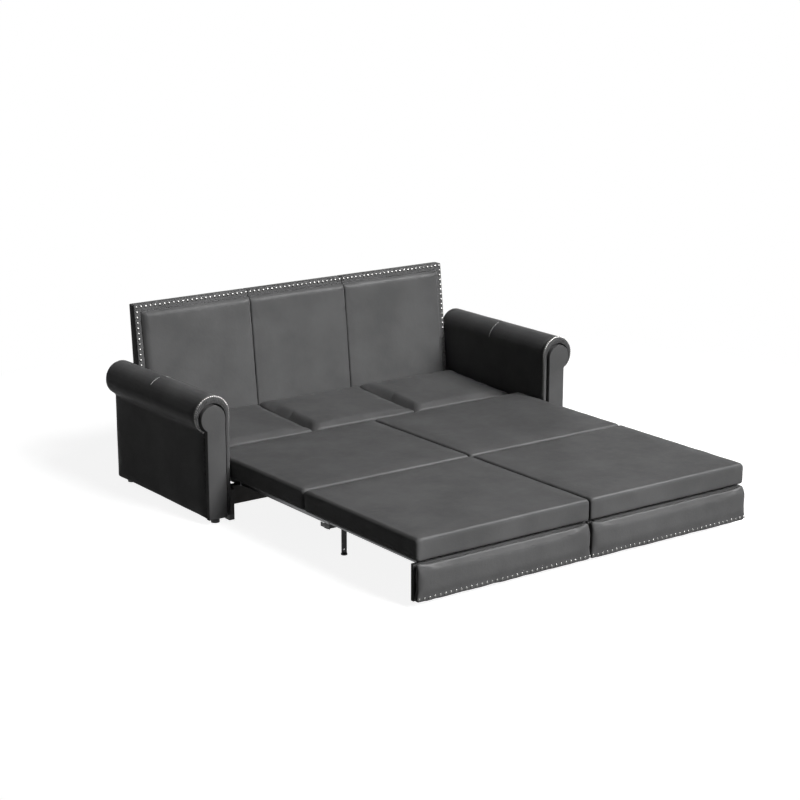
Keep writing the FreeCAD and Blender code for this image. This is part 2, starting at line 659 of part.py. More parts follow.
def make_stage(side, sign):
    """Square cross tube under the stage runners, with end plates, two legs and their glides."""
    top = runner_levels(1)[0]
    web = "(Sizes.runner_wall + Sizes.runner_gap)"
    low, high = across(sign, f"{RUNNER_INNER} + {web}", f"{RUNNER_OUTER} - {web}")
    tube_front = f"{STAGE_FRONT} + Sizes.tube_setback"
    front = along(tube_front)
    back = along(f"{tube_front} + Sizes.tube_side")

    def draw_tube(sketch):
        draw_polygon(sketch, rectangle(front, back, f"{top} - Sizes.tube_side", top))
        draw_polygon(sketch, rectangle(f"{front} + Sizes.tube_wall", f"{back} - Sizes.tube_wall",
                                       f"{top} - Sizes.tube_side + Sizes.tube_wall",
                                       f"{top} - Sizes.tube_wall"))

    body = profile_body(side + "_cross_tube", "YZ", draw_tube,
                        f"{low} + Sizes.end_plate_wall", f"{high} - Sizes.end_plate_wall")
    plate_top = "Sizes.runner_low - Sizes.runner_gap"
    plate_front = f"{STAGE_FRONT} - Sizes.end_plate_lead"
    plate = rectangle(along(plate_front), along(f"{plate_front} + Sizes.end_plate_length"),
                      f"{plate_top} - Sizes.end_plate_height", plate_top)
    add_pad(body, side + "_low_plate", "YZ", draw_corners(plate), low,
            f"{low} + Sizes.end_plate_wall")
    add_pad(body, side + "_high_plate", "YZ", draw_corners(plate),
            f"{high} - Sizes.end_plate_wall", high)

    leg_front = along(f"{tube_front} - Sizes.leg_wall")
    legs = []
    glides = []
    for name in ("outer", "inner"):
        centre = f"{sign} * Sizes.leg_{name}"
        corners = rectangle(f"{centre} - Sizes.leg_wide / 2", f"{centre} + Sizes.leg_wide / 2",
                            "Sizes.glide_thick", top)

        def draw_leg(sketch, corners=corners, centre=centre):
            draw_polygon(sketch, corners)
            draw_circle(sketch, centre, "Sizes.leg_hole_low", "Sizes.leg_hole")

        leg = DOC.addObject("PartDesign::Body", f"{side}_{name}_leg")
        add_pad(leg, f"{side}_{name}_leg", "XZ", draw_leg, leg_front, front)
        legs.append(leg)
        glide = DOC.addObject("Part::Cylinder", f"{side}_{name}_glide")
        glide.setExpression("Radius", "Sizes.glide_radius")
        glide.setExpression("Height", "Sizes.glide_thick")
        glide.setExpression("Placement.Base.x", centre)
        glide.setExpression("Placement.Base.y", f"{leg_front} + Sizes.leg_wall / 2")
        glides.append(glide)
    keep_group(side + "_support_legs", legs)
    keep_group(side + "_leg_glides", glides)


# Pull-out unit

def make_unit(side, sign):
    """Front panel with its board, padded fascia and caster brackets."""
    gap = num("Sizes.soft_gap")
    inset = "Sizes.board_inset"
    low, high = across(sign, f"Sizes.panel_inner + {inset}", f"{PANEL_OUTER} - {inset}")
    corners = rectangle(low, high, along(f"-Sizes.panel_foot + {inset}"),
                        along(f"-Sizes.crease_reach - Sizes.crease_gap - {inset}"))
    profile_body(side + "_front_board", "XY", draw_corners(corners), "Sizes.panel_low",
                 "Sizes.panel_low + Sizes.board_wall")

    wide = num(f"{PANEL_OUTER} - Sizes.panel_inner")
    centre_x = sign * num(f"({PANEL_OUTER} + Sizes.panel_inner) / 2")
    foot_y = num(along("-Sizes.panel_foot"))
    crease_y = num(along("-Sizes.crease_reach - Sizes.crease_gap"))
    floor_z = num("Sizes.panel_low")
    depth = crease_y - foot_y
    solid = pillow(wide, depth, num("Sizes.panel_top") - floor_z, num("Sizes.panel_low_edge") / 2,
                   num("Sizes.panel_edge"), 0, num("Sizes.panel_corner"), 0)
    rim = num(inset) - gap
    recess = Part.makeBox(wide - 2 * rim, depth - 2 * rim, 2 * (num("Sizes.board_wall") + gap),
                          FreeCAD.Vector(rim - wide / 2, rim - depth / 2,
                                         -num("Sizes.board_wall") - gap))
    soft_piece(side + "_front_cushion", solid.cut(recess), centre_x, (foot_y + crease_y) / 2,
               floor_z)

    low, high = across(sign, "Sizes.fascia_inner + Sizes.fascia_board_inset",
                       f"{FASCIA_OUTER} - Sizes.fascia_board_inset")
    corners = rectangle(low, high, "Sizes.ground_gap + Sizes.fascia_board_inset",
                        f"{FASCIA_TOP} - Sizes.fascia_board_inset")
    pad_back = "-Sizes.open_reach + Sizes.fascia_pad"
    profile_body(side + "_fascia_board", "XZ", draw_corners(corners), along(pad_back),
                 along(f"{pad_back} + Sizes.fascia_board"))

    wide = num(f"{FASCIA_OUTER} - Sizes.fascia_inner")
    tall = num(f"{FASCIA_TOP} - Sizes.ground_gap")
    thick = num("Sizes.fascia_pad - Sizes.fascia_pad_crown") - gap
    edge = thick * 0.8
    solid = pillow(wide, tall, thick, edge * 0.1, edge, num("Sizes.fascia_pad_crown"), edge, 0)
    centre_x = sign * num(f"({FASCIA_OUTER} + Sizes.fascia_inner) / 2")
    soft_piece(side + "_fascia_pad", solid, centre_x, num(along(pad_back)) - gap,
               num("Sizes.ground_gap") + tall / 2, 90)


def make_casters(side, sign):
    """Fork brackets behind the fascia board, with axles and free wheels."""
    board_back = "-Sizes.open_reach + Sizes.fascia_pad + Sizes.fascia_board"
    plate_y = along(board_back)
    axle_y = along(f"{board_back} + Sizes.caster_throw")
    tip_y = f"{axle_y} + 2 * Sizes.axle_radius"
    inner = "(Sizes.caster_wide / 2 + Sizes.caster_gap)"
    outer = f"({inner} + Sizes.fork_wall)"
    brackets = []
    axles = []
    for name in ("outer", "inner"):
        centre = f"{sign} * Sizes.caster_{name}"
        corners = [
            (f"{centre} - {outer}", plate_y),
            (f"{centre} + {outer}", plate_y),
            (f"{centre} + {outer}", tip_y),
            (f"{centre} + {inner}", tip_y),
            (f"{centre} + {inner}", f"{plate_y} + Sizes.fork_wall"),
            (f"{centre} - {inner}", f"{plate_y} + Sizes.fork_wall"),
            (f"{centre} - {inner}", tip_y),
            (f"{centre} - {outer}", tip_y),
        ]
        fork = DOC.addObject("PartDesign::Body", f"{side}_{name}_fork")
        add_pad(fork, f"{side}_{name}_fork", "XY", draw_corners(corners), "Sizes.fork_low",
                "Sizes.fork_high")
        DOC.recompute()

        def draw_bore(sketch):
            draw_circle(sketch, axle_y, "Sizes.caster_radius", "Sizes.axle_radius")

        cut_pocket(fork, f"{side}_{name}_fork_bore", "YZ", draw_bore, f"{centre} - 2 * {outer}",
                   f"{centre} + 2 * {outer}")
        brackets.append(fork)

        axle = DOC.addObject("Part::Cylinder", f"{side}_{name}_axle")
        axle.setExpression("Radius", "Sizes.axle_radius")
        axle.setExpression("Height", f"2 * {outer}")
        axle.Placement.Rotation = FreeCAD.Rotation(ALONG_Y, 90)
        axle.setExpression("Placement.Base.x", f"{centre} - {outer}")
        axle.setExpression("Placement.Base.y", axle_y)
        axle.setExpression("Placement.Base.z", "Sizes.caster_radius")
        axles.append(axle)

        def draw_wheel(sketch):
            draw_circle(sketch, axle_y, "Sizes.caster_radius", "Sizes.caster_radius")
            draw_circle(sketch, axle_y, "Sizes.caster_radius", "Sizes.axle_radius + Sizes.axle_gap")

        profile_body(f"{side}_{name}_caster_wheel", "YZ", draw_wheel,
                     f"{centre} - Sizes.caster_wide / 2", f"{centre} + Sizes.caster_wide / 2")
    keep_group(side + "_caster_brackets", brackets)
    keep_group(side + "_caster_axles", axles)


def make_middle_cushion(side, sign):
    """Middle panel, upholstered all round, which folds over the front one."""
    gap = num("Sizes.soft_gap")
    wide = num(f"{PANEL_OUTER} - Sizes.panel_inner")
    centre_x = sign * num(f"({PANEL_OUTER} + Sizes.panel_inner) / 2")
    front_y = num(along("-Sizes.crease_reach + Sizes.crease_gap"))
    back_y = num(along("Sizes.panel_head"))
    floor_z = num("Sizes.panel_low") + gap
    solid = pillow(wide, back_y - front_y, num("Sizes.panel_top") - floor_z,
                   num("Sizes.panel_low_edge"), num("Sizes.panel_edge"), 0,
                   num("Sizes.panel_corner"), 0)
    soft_piece(side + "_middle_cushion", solid, centre_x, (front_y + back_y) / 2, floor_z)


def make_rear_cushion(label, low, high):
    """Loose rear cushion that lies on the deck slats."""
    gap = num("Sizes.soft_gap")
    wide = num(high) - num(low)
    front_y = num(along("Sizes.rear_front"))
    back_y = num(along("Sizes.rear_back"))
    floor_z = num(DECK_TOP) + gap
    edge = num("Sizes.rear_edge")
    solid = pillow(wide, back_y - front_y, num("Sizes.rear_top") - floor_z, edge, edge,
                   num("Sizes.rear_crown"), num("Sizes.corner_round"), num("Sizes.rear_bow"))
    soft_piece(label, solid, (num(low) + num(high)) / 2, (front_y + back_y) / 2, floor_z)


def make_thirds(maker, suffix, outer, gap):
    """Left, centre and right pieces between the two third lines."""
    maker("left_" + suffix, f"-{outer}", f"-Sizes.third_line - {gap}")
    maker("centre_" + suffix, f"-Sizes.third_line + {gap}", f"Sizes.third_line - {gap}")
    maker("right_" + suffix, f"Sizes.third_line + {gap}", outer)


for side_name, side_sign in SIDES:
    make_arm(side_name, side_sign)
    make_side_rail(side_name, side_sign)
for rail_name in RAILS:
    make_cross_rail(rail_name)
make_apron()
make_feet()
make_bearers()
make_back()
make_thirds(make_back_pad, "back_pad", "(Sizes.arm_inner - Sizes.pad_border)", "0")
for side_name, side_sign in SIDES:
    make_deck(side_name, side_sign)
    make_runners(side_name, side_sign)
    make_stage(side_name, side_sign)
    make_unit(side_name, side_sign)
    make_casters(side_name, side_sign)
    make_middle_cushion(side_name, side_sign)
make_thirds(make_rear_cushion, "rear_cushion", "(Sizes.arm_inner - Sizes.rear_side)", "Sizes.rear_gap")

DOC.recompute()
for item in DOC.Objects:
    if "Invalid" in item.State or "Error" in item.State:
        raise RuntimeError(f"{item.Name} failed: {item.State}")
for node in NODES:
    if node.Shape.isNull() or not node.Shape.isValid():
        raise RuntimeError(f"{node.Label} has no valid shape")

os.makedirs("parts", exist_ok=True)
for node in NODES:
    node.Shape.exportStep(f"parts/{node.Label}.step")
    print(node.Label, len(node.Shape.Solids), round(node.Shape.Volume / 1e6, 3))
print(len(NODES), "nodes")
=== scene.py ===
"""Sofa bed with rolled arms, opened out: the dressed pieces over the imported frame."""

import json
import logging
import math
from collections.abc import Callable, Iterator
from contextlib import contextmanager
from dataclasses import dataclass, field
from enum import Enum
from functools import partial

import bmesh
import bpy
import numpy as np
from mathutils import Matrix, Vector, noise
from mathutils.bvhtree import BVHTree


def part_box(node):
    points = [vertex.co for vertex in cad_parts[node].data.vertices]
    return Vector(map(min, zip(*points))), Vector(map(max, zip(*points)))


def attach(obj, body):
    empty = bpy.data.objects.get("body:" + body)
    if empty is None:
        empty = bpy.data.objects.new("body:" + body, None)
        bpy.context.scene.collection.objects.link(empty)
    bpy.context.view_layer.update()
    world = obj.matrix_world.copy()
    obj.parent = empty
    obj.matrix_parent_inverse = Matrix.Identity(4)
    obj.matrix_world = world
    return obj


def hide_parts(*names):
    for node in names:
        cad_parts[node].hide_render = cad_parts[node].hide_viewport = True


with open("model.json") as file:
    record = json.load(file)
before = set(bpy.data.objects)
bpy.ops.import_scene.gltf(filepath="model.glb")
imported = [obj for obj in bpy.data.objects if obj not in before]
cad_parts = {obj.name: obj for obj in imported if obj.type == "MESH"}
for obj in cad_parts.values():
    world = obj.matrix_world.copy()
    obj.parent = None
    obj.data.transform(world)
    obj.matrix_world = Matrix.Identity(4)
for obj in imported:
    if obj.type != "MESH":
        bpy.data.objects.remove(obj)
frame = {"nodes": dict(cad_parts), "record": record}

LOG = logging.getLogger("sofa_bed")
HAIR = 0.001
WELD = 0.000001
AWAY = 0.1
LEVEL = (0, 1)
UPRIGHT = (0, 2)

Colour = tuple[float, float, float]
Test = Callable[[Vector], bool]
Ease = Callable[[np.ndarray], np.ndarray]


class Side(Enum):
    """The half of the sofa that a piece belongs to, as the x sign of its place."""

    LEFT = -1.0
    RIGHT = 1.0

    @property
    def word(self) -> str:
        """The side's name as the nodes and bodies spell it."""
        return self.name.lower()


class Third(Enum):
    """One of the three seats, with the seed of its folds."""

    LEFT = 3
    CENTRE = 11
    RIGHT = 23

    @property
    def word(self) -> str:
        """The seat's name as the nodes and bodies spell it."""
        return self.name.lower()


class Slot(Enum):
    """The finishes that the record names."""

    LEATHER = "leather"
    TIMBER = "timber"
    PLYWOOD = "plywood"
    BLACK_METAL = "black_metal"
    ZINC = "zinc"
    BLACK_PLASTIC = "black_plastic"


@dataclass(frozen=True)
class Patches:
    """A cloudy pattern and the values it runs between: patches to a metre, finer layers, low, high."""

    scale: float
    detail: float
    low: float = 0.0
    high: float = 1.0


@dataclass(frozen=True)
class Relief:
    """A cloudy relief: patches to a metre, finer layers, the size of a full step, and its strength."""

    scale: float
    detail: float
    depth: float
    strength: float


def shaded(colour: Colour, factor: float) -> Colour:
    """The same colour, darker or lighter."""
    return tuple(factor * value for value in colour)


class Recipe:
    """One procedural material while its nodes are put together."""

    def __init__(self, name: str) -> None:
        """Start a material that has only its shader.

        Args:
            name: the material's name.
        """
        self.material = bpy.data.materials.new(name)
        self.material.use_nodes = True
        self.tree = self.material.node_tree
        self.shader = self.tree.nodes["Principled BSDF"]
        self.place = self.tree.nodes.new("ShaderNodeTexCoord").outputs["Object"]

    def add(self, kind: str, feeds: dict | None = None, **settings: object) -> bpy.types.Node:
        """Add a node, set it up and feed its inputs.

        Args:
            kind: the node's type.
            feeds: input name or number, with a value or the output socket that feeds it.
            settings: the node's own properties.

        Returns:
            The new node.
        """
        node = self.tree.nodes.new(kind)
        for key, value in settings.items():
            setattr(node, key, value)
        for key, value in (feeds or {}).items():
            if isinstance(value, bpy.types.NodeSocket):
                self.tree.links.new(value, node.inputs[key])
            else:
                node.inputs[key].default_value = value
        return node

    def cloud(self, scale: float, detail: float, stretch: Colour | None = None) -> bpy.types.NodeSocket:
        """A soft noise over the piece.

        Args:
            scale: how many patches to a metre.
            detail: how many finer layers are laid over it.
            stretch: factors along x, y and z, where the noise runs longer one way.

        Returns:
            The noise value.
        """
        place = self.place
        if stretch:
            place = self.add("ShaderNodeMapping", {0: place, "Scale": stretch}).outputs[0]
        return self.add("ShaderNodeTexNoise", {"Vector": place, "Scale": scale, "Detail": detail}).outputs[0]

    def spread(self, value: bpy.types.NodeSocket, low: float, high: float,
               start: float = 0.35, end: float = 0.65) -> bpy.types.NodeSocket:
        """Stretch a noise value over a range.

        Args:
            value: the noise.
            low: the result at the start value.
            high: the result at the end value.
            start: the noise value that gives low.
            end: the noise value that gives high.

        Returns:
            The value in its new range.
        """
        feeds = {0: value, 1: start, 2: end, 3: low, 4: high}
        return self.add("ShaderNodeMapRange", feeds).outputs[0]

    def patches(self, pattern: Patches, stretch: Colour | None = None) -> bpy.types.NodeSocket:
        """A soft noise over the piece, between the pattern's two values."""
        return self.spread(self.cloud(pattern.scale, pattern.detail, stretch), pattern.low, pattern.high)

    def tint(self, factor: bpy.types.NodeSocket, first: Colour, second: Colour) -> bpy.types.NodeSocket:
        """Mix two colours by a value.

        Args:
            factor: 0 gives the first colour, 1 the second.
            first: linear colour.
            second: linear colour.

        Returns:
            The mixed colour.
        """
        mix = self.add("ShaderNodeMix", data_type="RGBA")
        self.tree.links.new(factor, mix.inputs[0])
        mix.inputs[6].default_value = (*first, 1.0)
        mix.inputs[7].default_value = (*second, 1.0)
        return mix.outputs[2]

    def relief(self, height: bpy.types.NodeSocket, depth: float, strength: float = 1.0,
               under: bpy.types.NodeSocket | None = None) -> bpy.types.NodeSocket:
        """Raise the surface by a height value.

        Args:
            height: the height from 0 to 1.
            depth: the size of a full step, in metres.
            strength: how much of it shows.
            under: a coarser relief that this one lies on.

        Returns:
            The bent normal.
        """
        feeds = {"Height": height, "Distance": depth, "Strength": strength}
        if under is not None:
            feeds["Normal"] = under
        return self.add("ShaderNodeBump", feeds).outputs[0]

    def layer(self, relief: Relief, under: bpy.types.NodeSocket | None = None,
              stretch: Colour | None = None) -> bpy.types.NodeSocket:
        """Raise the surface by a soft noise.

        Args:
            relief: the noise and its height.
            under: a coarser relief that this one lies on.
            stretch: factors along x, y and z, where the noise runs longer one way.

        Returns:
            The bent normal.
        """
        cloud = self.cloud(relief.scale, relief.detail, stretch)
        return self.relief(cloud, relief.depth, relief.strength, under)

    def dress(self, **sockets: object) -> bpy.types.Material:
        """Feed the shader.

        Args:
            sockets: shader inputs, with underscores for spaces, and their values or feeds.

        Returns:
            The finished material.
        """
        for key, value in sockets.items():
            target = self.shader.inputs[key.replace("_", " ")]
            if isinstance(value, bpy.types.NodeSocket):
                self.tree.links.new(value, target)
            else:
                target.default_value = value
        return self.material


@dataclass(frozen=True)
class Leather:
    """Dark grey upholstery leather: pebbled grain, fine pores, soft undulation, patchy polish."""

    name: str = "grey_leather"
    shade: Colour = (0.118, 0.118, 0.119)
    mottle: float = 0.1
    clouds: Patches = Patches(5.0, 4.0)
    polish: Patches = Patches(28.0, 3.0, 0.44, 0.35)
    sag: Relief = Relief(16.0, 3.0, 0.008, 0.16)
    crumple: Relief = Relief(75.0, 4.0, 0.0022, 0.25)
    pebbles: float = 560.0
    pebble_edge: tuple[float, float] = (0.05, 0.75)
    grain: tuple[float, float] = (0.0004, 0.35)
    gloss: float = 0.012

    def make(self) -> bpy.types.Material:
        """Build the leather's material."""
        recipe = Recipe(self.name)
        darker = shaded(self.shade, 1.0 - self.mottle)
        lighter = shaded(self.shade, 1.0 + self.mottle)
        colour = recipe.tint(recipe.patches(self.clouds), darker, lighter)
        cells = recipe.add("ShaderNodeTexVoronoi", {"Vector": recipe.place, "Scale": self.pebbles},
                           feature="SMOOTH_F1")
        pebble = recipe.spread(cells.outputs[0], 1.0, 0.0, *self.pebble_edge)
        folds = recipe.layer(self.crumple, recipe.layer(self.sag))
        return recipe.dress(Base_Color=colour, Roughness=recipe.patches(self.polish),
                            Normal=recipe.relief(pebble, *self.grain, folds), Specular_IOR_Level=self.gloss)


@dataclass(frozen=True)
class Nailhead:
    """Darkened metal of the decorative nails."""

    name: str = "gunmetal_nail"
    shade: Colour = (0.15, 0.148, 0.145)
    darkest: float = 0.6
    tarnish: Patches = Patches(170.0, 2.0)
    rough: Patches = Patches(400.0, 2.0, 0.38, 0.52)

    def make(self) -> bpy.types.Material:
        """Build the nails' material."""
        recipe = Recipe(self.name)
        colour = recipe.tint(recipe.patches(self.tarnish), shaded(self.shade, self.darkest), self.shade)
        return recipe.dress(Base_Color=colour, Roughness=recipe.patches(self.rough), Metallic=1.0)


@dataclass(frozen=True)
class Thread:
    """Light grey sewing thread."""

    name: str = "seam_thread"
    shade: Colour = (0.50, 0.50, 0.50)
    darkest: float = 0.7
    fibres: Relief = Relief(1500.0, 2.0, 0.0004, 0.5)
    rough: float = 0.7

    def make(self) -> bpy.types.Material:
        """Build the thread's material."""
        recipe = Recipe(self.name)
        fibres = recipe.cloud(self.fibres.scale, self.fibres.detail)
        colour = recipe.tint(fibres, shaded(self.shade, self.darkest), self.shade)
        return recipe.dress(Base_Color=colour, Roughness=self.rough,
                            Normal=recipe.relief(fibres, self.fibres.depth, self.fibres.strength))


@dataclass(frozen=True)
class Paint:
    """Powder-coated steel: dark, slightly rough, with fine orange peel."""

    name: str = "black_steel"
    shade: Colour = (0.016, 0.016, 0.017)
    dusty: float = 1.7
    dust: Patches = Patches(9.0, 5.0)
    dust_edge: tuple[float, float] = (0.4, 0.75)
    rough: Patches = Patches(60.0, 3.0, 0.38, 0.55)
    peel: Relief = Relief(700.0, 2.0, 0.0003, 0.3)
    gloss: float = 0.4

    def make(self) -> bpy.types.Material:
        """Build the paint's material."""
        recipe = Recipe(self.name)
        cloud = recipe.cloud(self.dust.scale, self.dust.detail)
        dust = recipe.spread(cloud, self.dust.low, self.dust.high, *self.dust_edge)
        colour = recipe.tint(dust, self.shade, shaded(self.shade, self.dusty))
        return recipe.dress(Base_Color=colour, Roughness=recipe.patches(self.rough),
                            Normal=recipe.layer(self.peel), Specular_IOR_Level=self.gloss)


@dataclass(frozen=True)
class Zinc:
    """Zinc-plated steel, dark passivated, with a faint spangle."""

    name: str = "zinc_plate"
    shade: Colour = (0.15, 0.15, 0.155)
    darkest: float = 0.78
    spangle: float = 260.0
    rough: Patches = Patches(120.0, 3.0, 0.28, 0.42)

    def make(self) -> bpy.types.Material:
        """Build the plating's material."""
        recipe = Recipe(self.name)
        cells = recipe.add("ShaderNodeTexVoronoi", {"Vector": recipe.place, "Scale": self.spangle})
        colour = recipe.tint(cells.outputs[0], shaded(self.shade, self.darkest), self.shade)
        return recipe.dress(Base_Color=colour, Roughness=recipe.patches(self.rough), Metallic=1.0)


@dataclass(frozen=True)
class Plastic:
    """Moulded black plastic with a fine spark-eroded texture."""

    name: str = "black_moulding"
    shade: Colour = (0.014, 0.014, 0.015)
    lightest: float = 1.5
    clouds: Patches = Patches(14.0, 3.0)
    rough: Patches = Patches(50.0, 2.0, 0.45, 0.6)
    texture: Relief = Relief(1400.0, 1.0, 0.0002, 0.35)
    gloss: float = 0.35

    def make(self) -> bpy.types.Material:
        """Build the plastic's material."""
        recipe = Recipe(self.name)
        cloud = recipe.cloud(self.clouds.scale, self.clouds.detail)
        colour = recipe.tint(cloud, self.shade, shaded(self.shade, self.lightest))
        return recipe.dress(Base_Color=colour, Roughness=recipe.patches(self.rough),
                            Normal=recipe.layer(self.texture), Specular_IOR_Level=self.gloss)


@dataclass(frozen=True)
class Wood:
    """Sawn wood: rings stretched along x, pores and a dull surface."""

    name: str
    early: Colour
    late: Colour
    rings: float
    rough: Patches = Patches(20.0, 2.0, 0.6, 0.75)
    gloss: float = 0.3
    along: Colour = (0.08, 1.0, 1.0)

    def make(self) -> bpy.types.Material:
        """Build the wood's material."""
        recipe = Recipe(self.name)
        figure = recipe.patches(Patches(self.rings, detail=5.0), self.along)
        pores = Relief(6.0 * self.rings, detail=2.0, depth=0.0006, strength=0.4)
        return recipe.dress(Base_Color=recipe.tint(figure, self.early, self.late),
                            Roughness=recipe.patches(self.rough),
                            Normal=recipe.layer(pores, stretch=self.along), Specular_IOR_Level=self.gloss)


@dataclass
class Finishes:
    """All the materials, each made once."""

    leather: bpy.types.Material = field(default_factory=lambda: Leather().make())
    nail: bpy.types.Material = field(default_factory=lambda: Nailhead().make())
    thread: bpy.types.Material = field(default_factory=lambda: Thread().make())
    steel: bpy.types.Material = field(default_factory=lambda: Paint().make())
    zinc: bpy.types.Material = field(default_factory=lambda: Zinc().make())
    plastic: bpy.types.Material = field(default_factory=lambda: Plastic().make())
    timber: bpy.types.Material = field(
        default_factory=lambda: Wood("beech_timber", (0.30, 0.19, 0.10), (0.18, 0.105, 0.05), 45.0).make())
    plywood: bpy.types.Material = field(
        default_factory=lambda: Wood("birch_plywood", (0.42, 0.30, 0.18), (0.30, 0.20, 0.11), 28.0).make())
    # Near-black wood for the rails and front board seen in the gaps: painted shade of those gaps.
    painted_gap_shade: bpy.types.Material = field(
        default_factory=lambda: Wood("gap_shade_black_wood", (0.012, 0.011, 0.011), (0.022, 0.02, 0.019),
                                     45.0).make())

    def cover(self, piece: bpy.types.Object, body: str, nodes: tuple[str, ...] = (),
              fill: float | None = None, crease: float = 80.0) -> None:
        """Finish a piece in leather.

        Args:
            piece: the piece.
            body: the body it moves with.
            nodes: the CAD nodes it stands for.
            fill: how tightly it is stuffed, for a padded piece; not used.
            crease: edges sharper than this many degrees stay sharp.
        """
        Bench.finish(piece, self.leather, Slot.LEATHER, body, nodes, fill, crease)

    def of(self, slot: Slot) -> bpy.types.Material:
        """The material that stands for a slot of the record.

        Args:
            slot: the record's slot.

        Returns:
            Its material.
        """
        return {Slot.LEATHER: self.leather, Slot.TIMBER: self.timber, Slot.PLYWOOD: self.plywood,
                Slot.BLACK_METAL: self.steel, Slot.ZINC: self.zinc,
                Slot.BLACK_PLASTIC: self.plastic}[slot]


@dataclass(frozen=True)
class Stuffing:
    """How a soft form is filled: mesh size, push from inside, and how far the cover may move."""

    voxel: float = 0.008
    cap: float = 0.024
    pressure: float = 4.0
    frames: int = 20


class Bench:
    """Hand work on one piece at a time: operators in edit mode, and modifiers that are applied."""

    @staticmethod
    def hold(piece: bpy.types.Object) -> None:
        """Select one piece alone and make it active.

        Args:
            piece: the piece.
        """
        bpy.ops.object.select_all(action="DESELECT")
        piece.select_set(True)
        bpy.context.view_layer.objects.active = piece

    @staticmethod
    @contextmanager
    def opened(piece: bpy.types.Object) -> Iterator[None]:
        """Work on a piece in edit mode, at first with all of it selected.

        Args:
            piece: the piece.
        """
        Bench.hold(piece)
        bpy.ops.object.mode_set(mode="EDIT")
        bpy.ops.mesh.select_all(action="SELECT")
        yield
        bpy.ops.object.mode_set(mode="OBJECT")

    @staticmethod
    def fresh(name: str) -> bpy.types.Object:
        """Name the primitive that has just been added.

        Args:
            name: the piece's name.

        Returns:
            The piece.
        """
        piece = bpy.context.object
        piece.name = name
        piece.data.name = name
        return piece

    @staticmethod
    def block(name: str, low: Vector, high: Vector) -> bpy.types.Object:
        """Add a block between two corners.

        Args:
            name: the piece's name.
            low: its lowest corner.
            high: its highest corner.

        Returns:
            The block, with its place in its mesh.
        """
        bpy.ops.object.select_all(action="DESELECT")
        bpy.ops.mesh.primitive_cube_add(size=1.0, location=(0.0, 0.0, 0.0))
        piece = Bench.fresh(name)
        with Bench.opened(piece):
            bpy.ops.transform.resize(value=tuple(high - low), center_override=(0.0, 0.0, 0.0))
            bpy.ops.transform.translate(value=tuple((low + high) / 2))
        return piece

    @staticmethod
    def sheet(name: str, outline: list[Vector]) -> bpy.types.Object:
        """Add a flat face with a given outline.

        Args:
            name: the piece's name.
            outline: its corners in order.

        Returns:
            The sheet.
        """
        bpy.ops.object.select_all(action="DESELECT")
        bpy.ops.mesh.primitive_circle_add(vertices=len(outline), fill_type="NGON")
        piece = Bench.fresh(name)
        for vertex, corner in zip(piece.data.vertices, outline):
            vertex.co = corner
        return piece

    @staticmethod
    def sleeve(name: str, rings: list[list[Vector]]) -> bpy.types.Object:
        """Wrap a grid round rings of points and close its seam and ends.

        Args:
            name: the piece's name.
            rings: the rings in order, all with the same number of points.

        Returns:
            The closed tube.
        """
        around = len(rings[0])
        steps = len(rings) - 1
        bpy.ops.object.select_all(action="DESELECT")
        bpy.ops.mesh.primitive_grid_add(x_subdivisions=around, y_subdivisions=steps, size=1.0)
        piece = Bench.fresh(name)
        for vertex in piece.data.vertices:
            column = round((vertex.co.x + 0.5) * around)
            row = round((vertex.co.y + 0.5) * steps)
            vertex.co = rings[row][column % around]
        with Bench.opened(piece):
            bpy.ops.mesh.remove_doubles(threshold=WELD)
            bpy.ops.mesh.fill_holes(sides=0)
            bpy.ops.mesh.normals_make_consistent(inside=False)
        return piece

    @staticmethod
    def extrude(piece: bpy.types.Object, offset: Vector) -> None:
        """Pull a sheet out into a solid.

        Args:
            piece: the sheet.
            offset: how far its face goes.
        """
        with Bench.opened(piece):
            bpy.ops.mesh.extrude_region_move(TRANSFORM_OT_translate={"value": tuple(offset)})
            bpy.ops.mesh.select_all(action="SELECT")
            bpy.ops.mesh.normals_make_consistent(inside=False)

    @staticmethod
    def bevel(piece: bpy.types.Object, size: float, rounds: int, test: Test | None = None) -> None:
        """Round the edges whose middle passes a test.

        Args:
            piece: the piece.
            size: the width of the rounding.
            rounds: how many faces go round it.
            test: takes the edge's middle, or all the edges are rounded.
        """
        with Bench.opened(piece):
            bpy.ops.mesh.select_mode(type="EDGE")
            bpy.ops.mesh.select_all(action="DESELECT")
            mesh = bmesh.from_edit_mesh(piece.data)
            for edge in mesh.edges:
                first, second = (vertex.co for vertex in edge.verts)
                edge.select_set(test is None or test((first + second) / 2))
            bmesh.update_edit_mesh(piece.data)
            bpy.ops.mesh.bevel(offset=size, segments=rounds, profile=0.5, clamp_overlap=True)

    @staticmethod
    def apply(piece: bpy.types.Object, kind: str, **settings: object) -> None:
        """Add a modifier and apply it.

        Args:
            piece: the piece.
            kind: the modifier's type.
            settings: the modifier's properties.
        """
        Bench.hold(piece)
        modifier = piece.modifiers.new(kind.lower(), kind)
        for key, value in settings.items():
            setattr(modifier, key, value)
        bpy.ops.object.modifier_apply(modifier=modifier.name)

    @staticmethod
    def refine(piece: bpy.types.Object, levels: int = 1) -> None:
        """Subdivide a piece smoothly."""
        Bench.apply(piece, "SUBSURF", levels=levels, render_levels=levels)

    @staticmethod
    def soften(piece: bpy.types.Object, rounds: int, ease: Ease) -> None:
        """Even out a swollen piece's edges and corners.

        Args:
            piece: the swollen piece.
            rounds: how often it is evened out.
            ease: the share of the move that each point makes.
        """
        start = Bench.points(piece)
        Bench.apply(piece, "SMOOTH", factor=0.5, iterations=rounds)
        moved = Bench.points(piece) - start
        Bench.place(piece, start + moved * ease(start)[:, None])

